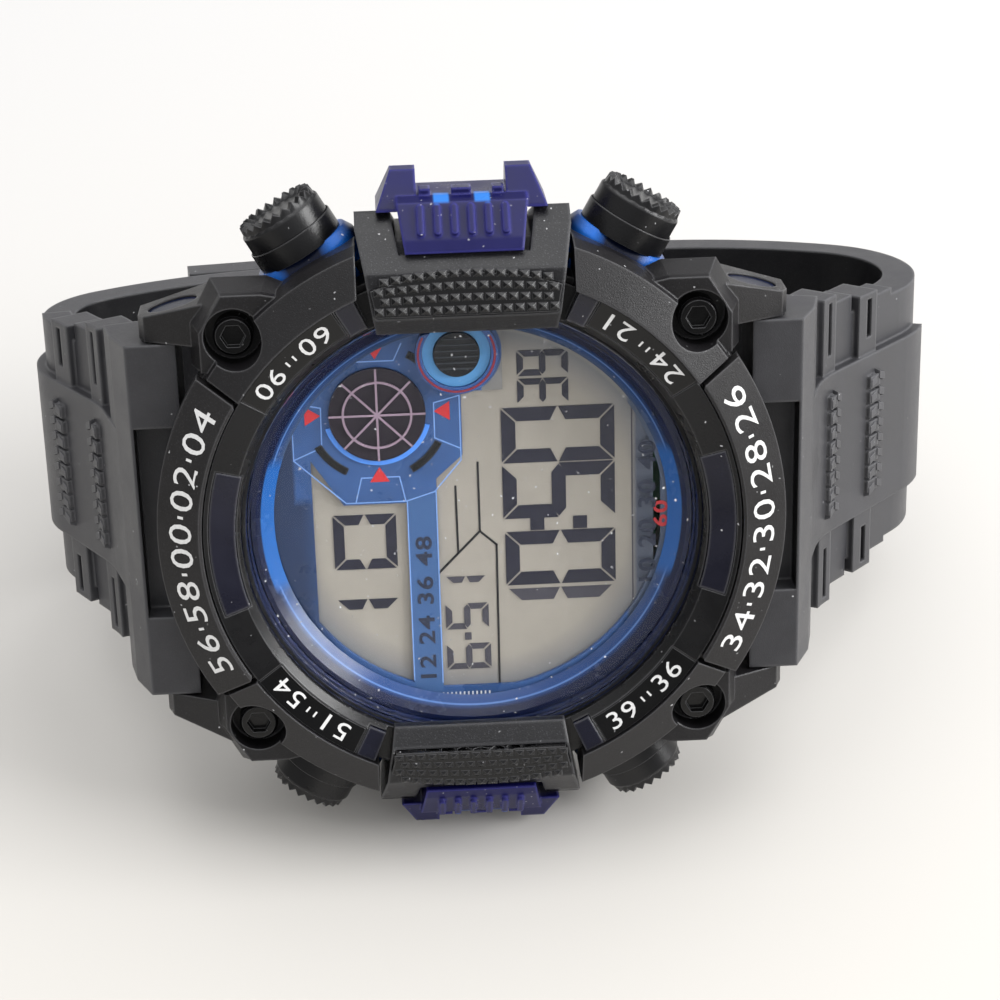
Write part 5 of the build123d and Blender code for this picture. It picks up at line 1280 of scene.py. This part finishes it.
@dataclass
class StrapRope:
    """Two rope-like rows on each strap half: pairs of leaning bumps, eight to a row, one column beside the other."""

    rows: Pair = (6.9, 13.6)
    count: int = 8
    half: float = 5.2
    face: float = 3.4
    width: float = 1.05
    tall: float = 0.92
    lean: float = 0.42
    rise: float = 0.42
    sink: float = 0.15
    inset: float = 0.16
    column_gap: float = 0.12

    def bumps(self, run: BandRun, row: float, column: int) -> np.ndarray:
        """Corners of one column of bumps: a leaning parallelogram on the face and a smaller one over it.

        Args:
            run: The strap half's run.
            row: Place of the row along the run.
            column: 0 for the column nearer the case, 1 for the one behind it, half a step further on.

        Returns:
            An array of bump, corner and x, y, z.
        """
        step = 2 * self.half / self.count
        middles = -self.half + step * (np.arange(self.count) + 0.25 + 0.5 * column)
        shares = np.array([[0, -0.5], [1, -0.5], [1, 0.5], [0, 0.5]])
        lean = self.lean if column == 0 else -self.lean
        low = np.stack([shares[:, 0] * self.width, shares[:, 1] * self.tall + shares[:, 0] * lean], axis=1)
        middle = low.mean(axis=0)
        high = middle + (low - middle) * (1 - 2 * self.inset / np.array([self.width, self.tall]))
        flat = np.concatenate([low, high])
        out = np.repeat([self.face - self.sink, self.face + self.rise], 4)
        place = np.broadcast_to(row + column * (self.width + self.column_gap) + flat[:, 0], (self.count, 8))
        spot = run.at(place, np.broadcast_to(out, (self.count, 8)))
        return np.stack([spot[..., 0], middles[:, None] + flat[None, :, 1], spot[..., 1]], axis=-1)

    def build(self, shop: Workshop) -> None:
        """Makes the bumps of each strap half as one piece.

        Args:
            shop: Keeper of the materials.
        """
        box = [(3, 2, 1, 0), (4, 5, 6, 7), (0, 1, 5, 4), (1, 2, 6, 5), (2, 3, 7, 6), (3, 0, 4, 7)]
        for name, run in (("rope_tail", BandRun(1, 3.0, 41.0)), ("rope_buckle", BandRun(-1, 5.0, 31.5))):
            faces = [face[:: -run.side] for face in box]
            shapes = [(bump, faces) for row in self.rows for column in (0, 1) for bump in self.bumps(run, row, column)]
            shop.piece(name, merged(shapes), Look.rope, "strap_resin")


@dataclass
class PusherCaps:
    """Oval caps with a toothed crown over the pushers' heads, each in a thin sleeve on its collar."""

    half_width: float = 3.15
    half_height: float = 2.95
    base: float = 24.34
    rim: float = 25.95
    roof: float = 26.43
    tooth: float = 0.42
    teeth: int = 22
    steps: int = 6
    sleeve_low: float = 23.1
    sleeve_high: float = 24.7
    sleeve_gap: float = 0.05
    sleeve_wall: float = 0.1

    def swept(self, angle: float, profile: list[tuple[float, float, float]], closed: bool) -> Shape:
        """Carries a profile round a pusher's axis on an oval, its height waved by the crown's teeth.

        Args:
            angle: The pusher's angle in degrees.
            profile: Rows of share of the oval's size, way out along the axis, and share of a tooth's
                height that is added where a tooth stands.
            closed: Whether the last row is joined to the first.

        Returns:
            Points in the watch's axes and faces.
        """
        columns = self.teeth * self.steps
        turn = np.linspace(0, 2 * np.pi, columns, endpoint=False)
        wave = 1 - np.abs((np.arange(columns) % self.steps) / self.steps - 0.5) * 2
        rows = np.array(profile)
        out = rows[:, 1:2] + rows[:, 2:3] * self.tooth * wave
        wide = rows[:, 0:1] * self.half_width * np.cos(turn)
        tall = rows[:, 0:1] * self.half_height * np.sin(turn)
        cos, sin = turned(angle)
        points = np.stack([out * cos - wide * sin, out * sin + wide * cos, PUSHER_HEIGHT + tall], axis=-1)
        faces = ring_faces(len(rows), columns, closed)
        if not closed:
            first = np.arange(columns)
            faces += [tuple(first + (len(rows) - 1) * columns), tuple(first[::-1])]
        return points.reshape(-1, 3), faces

    def build(self, shop: Workshop) -> None:
        """Makes the four caps, which move with their buttons, and the four sleeves.

        Args:
            shop: Keeper of the materials.
        """
        base, rim, roof, low, high = self.base, self.rim, self.roof, self.sleeve_low, self.sleeve_high
        cap = [
            (0.97, base, 0.0), (1.0, base + 0.05, 0.0), (1.0, rim, 0.0), (0.985, rim + 0.1, 0.0),
            (0.95, rim + 0.16, 0.25), (0.93, roof, 0.9), (0.8, roof + 0.04, 1.0), (0.68, roof + 0.02, 0.4),
            (0.6, roof, 0.0), (0.2, roof, 0.0),
        ]
        inner = 1 + self.sleeve_gap / self.half_width
        outer = inner + self.sleeve_wall / self.half_width
        sleeve = [(inner, low, 0.0), (outer, low, 0.0), (outer, high - 0.05, 0.0), ((inner + outer) / 2, high, 0.0),
                  (inner, high - 0.05, 0.0)]
        for button, angle in PUSHER_ANGLES.items():
            shop.piece(f"{button.value}_cap", self.swept(angle, cap, False), Look.pusher, "black_resin", button)
            shop.piece(f"{button.value}_sleeve", self.swept(angle, sleeve, True), Look.pusher, "black_resin")


@dataclass
class PusherSprings:
    """Coil springs behind the pushers' heads."""

    foot: float = 21.22
    keep: float = 0.72
    weld: float = 0.002

    def build(self, nodes: dict[str, bpy.types.Object], shop: Workshop) -> None:
        """Stands a merged copy of each packed spring in its place and hides the node's own spring.

        Args:
            nodes: Node names with their objects.
            shop: Keeper of the materials.
        """
        for body, angle in PUSHER_ANGLES.items():
            button = body.value.removesuffix("_button")
            mesh = nodes[f"{button}_spring"].data.copy()
            mesh.name = f"{button}_coil"
            shape = bmesh.new()
            shape.from_mesh(mesh)
            bmesh.ops.remove_doubles(shape, verts=shape.verts, dist=self.weld * MM)
            shape.to_mesh(mesh)
            shape.free()
            piece = shop.stand(mesh, Look.steel)
            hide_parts(f"{button}_spring")
            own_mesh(piece)


@dataclass
class GlassDust:
    """A film just over the glass that carries the dust."""

    radius: float = 16.2
    height: float = 13.37
    rings: int = 12
    sides: int = 96

    def build(self, shop: Workshop) -> None:
        """Makes the film: points on circles of growing radius, joined by quads round a small middle.

        Args:
            shop: Keeper of the materials.
        """
        radii = np.linspace(self.radius / self.rings, self.radius, self.rings)
        angles = np.linspace(0, 2 * np.pi, self.sides, endpoint=False)
        flat = [np.outer(radii, np.cos(angles)), np.outer(radii, np.sin(angles))]
        grid = np.stack([*flat, np.full((self.rings, self.sides), self.height)], axis=2).reshape(-1, 3)
        faces = [quad[::-1] for quad in ring_faces(self.rings, self.sides, False)] + [tuple(range(self.sides))]
        shop.piece("glass_dust", (grid, faces), Look.dust, "crystal_glass")


class CarriedNodes:
    """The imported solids, each given its finish."""

    def dress(self, nodes: dict[str, bpy.types.Object], shop: Workshop) -> None:
        """Puts a finish on every node.

        Args:
            nodes: Node names with their objects.
            shop: Keeper of the materials.
        """
        for name, piece in nodes.items():
            material = shop.material(NODE_LOOKS[name])
            piece.data.materials.clear()
            piece.data.materials.append(material)
            log.info("node %s: %s", name, material.name)


# ---- table, light and camera


def stand_by(name: str, data: bpy.types.ID, place: object = None) -> bpy.types.Object:
    """Links a table, lamp or camera to the scene.

    Args:
        name: Its name.
        data: Its mesh, light or camera.
        place: Its matrix, as rows.

    Returns:
        The object.
    """
    thing = bpy.data.objects.new(name, data)
    if place is not None:
        thing.matrix_world = Matrix(np.array(place).tolist())
    bpy.context.scene.collection.objects.link(thing)
    return thing


def pose(turn: np.ndarray, place: np.ndarray) -> np.ndarray:
    """A matrix of 4 by 4 from a turn of 3 by 3 and a place."""
    return np.block([[turn, np.reshape(place, (3, 1))], [np.zeros((1, 3)), np.ones((1, 1))]])


@dataclass
class Studio:
    """Table, light and camera."""

    focal: float = 88.92
    sensor: float = 36.0
    shift: Pair = (0.0268, 0.0294)
    distance: float = 180.5
    aim: tuple[float, float, float] = (0.0, 0.0, 13.5)
    tilt: float = 21.2
    turn: float = -2.0
    roll: float = 1.81
    table_half: float = 1.2
    lamp_aim: tuple[float, float, float] = (0.0, 0.0, 0.02)
    lamps: Rows = (("lamp_above", (0.06, 0.18, 0.70), 0.7, 3.4), ("lamp_right", (0.52, -0.10, 0.30), 0.35, 4.2))
    sky_low: float = 0.10
    sky_full: float = 0.95
    soft_light: float = 1.05

    def build_camera(self) -> None:
        """Places the camera by its tilt, turn and roll against the watch's own axes."""
        tilt, turn, roll = np.radians([self.tilt, self.turn, self.roll])
        back = np.array([np.sin(turn) * np.cos(tilt), np.sin(tilt), np.cos(turn) * np.cos(tilt)])
        level = np.array([np.cos(turn), 0.0, -np.sin(turn)])
        upward = np.array([-np.sin(turn) * np.sin(tilt), np.cos(tilt), -np.cos(turn) * np.sin(tilt)])
        right = level * np.cos(roll) - upward * np.sin(roll)
        up = level * np.sin(roll) + upward * np.cos(roll)
        eye = to_room((np.array(self.aim) + self.distance * back)[None])[0]
        lens = bpy.data.cameras.new("camera")
        lens.lens, lens.sensor_width, lens.sensor_fit = self.focal, self.sensor, "HORIZONTAL"
        lens.shift_x, lens.shift_y = self.shift
        lens.clip_start = 0.01
        turn_matrix = STAND @ np.stack([right, up, back], axis=1)
        bpy.context.scene.camera = stand_by("camera", lens, pose(turn_matrix, eye))

    def build_table(self) -> None:
        """Lays the pale table: a plane far past the view, its tone a little warmer towards the front."""
        half = self.table_half
        mesh = bpy.data.meshes.new("table")
        corners = np.pad(rectangle(-half, -half, half, half), ((0, 0), (0, 1)))
        mesh.from_pydata(corners.tolist(), [], [(0, 1, 2, 3)])
        material = bpy.data.materials.new("table_paper")
        material.use_nodes = True
        board = NodeBoard(material.node_tree)
        shader = material.node_tree.nodes["Principled BSDF"]
        parts = board.add("SeparateXYZ", board.add("TexCoord").outputs["Object"])
        near = board.span(parts.outputs["Y"], -0.06, 0.10, 1.0, 0.0)
        board.feed(shader.inputs["Base Color"], board.mix(near, tone(189, 188, 187), tone(190, 187, 182)))
        shader.inputs["Roughness"].default_value = 0.7
        shader.inputs["Specular IOR Level"].default_value = 0.2
        mesh.materials.append(material)
        stand_by("table", mesh)

    def add_lamp(self, name: str, place: tuple[float, float, float], size: float, power: float) -> None:
        """Adds a square soft lamp that faces the watch.

        Args:
            name: The lamp's name.
            place: Its place in metres.
            size: Its side in metres.
            power: Its power in watts.
        """
        lamp = bpy.data.lights.new(name, "AREA")
        lamp.shape, lamp.size, lamp.energy = "SQUARE", size, power
        back = np.array(place) - np.array(self.lamp_aim)
        back /= np.linalg.norm(back)
        right = np.cross([0.0, 1.0, 0.0], back)
        right /= np.linalg.norm(right)
        stand_by(name, lamp, pose(np.stack([right, np.cross(back, right), back], axis=1), place))

    def build_light(self) -> None:
        """Sets a white room that also shows in gloss, and soft lamps above and at the right.

        The room is full white where the camera or a clear piece looks at it, a little brighter for
        the light that falls on plain faces, and darker towards the level for what shows in gloss.
        """
        world = bpy.data.worlds.new("room")
        world.use_nodes = True
        bpy.context.scene.world = world
        board = NodeBoard(world.node_tree)
        ray = board.add("LightPath").outputs
        shown = board.math("MAXIMUM", ray["Is Camera Ray"], ray["Is Transmission Ray"])
        way = board.add("SeparateXYZ", board.add("TexCoord").outputs["Generated"])
        sky = board.span(way.outputs["Z"], 0.0, self.sky_full, self.sky_low, 1.0)
        soft = board.math("MULTIPLY", ray["Is Diffuse Ray"], self.soft_light)
        gloss = board.math("MULTIPLY", sky, board.math("SUBTRACT", 1.0, ray["Is Diffuse Ray"]))
        seen = board.math("MULTIPLY", board.math("ADD", soft, gloss), board.math("SUBTRACT", 1.0, shown))
        back = world.node_tree.nodes["Background"].inputs
        board.feed(back["Strength"], board.math("ADD", seen, shown))
        back["Color"].default_value = (1.0, 1.0, 1.0, 1.0)
        for lamp in self.lamps:
            self.add_lamp(*lamp)

    def build(self) -> None:
        """Builds the table, the light and the camera."""
        bpy.context.scene.view_settings.view_transform = "Standard"
        self.build_table()
        self.build_light()
        self.build_camera()


def main() -> None:
    """Loads the frame, dresses it and adds the fine pieces, in order."""
    logging.basicConfig(level=logging.INFO, format="%(message)s")
    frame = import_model()
    shop = Workshop()
    Studio().build()
    CarriedNodes().dress(frame["nodes"], shop)
    for pieces in (Display(), DialPrint(), BezelNumerals(), GripStuds(), StrapRope(), PusherCaps()):
        pieces.build(shop)
    PusherSprings().build(frame["nodes"], shop)
    GlassDust().build(shop)


if __name__ == "__main__":
    main()
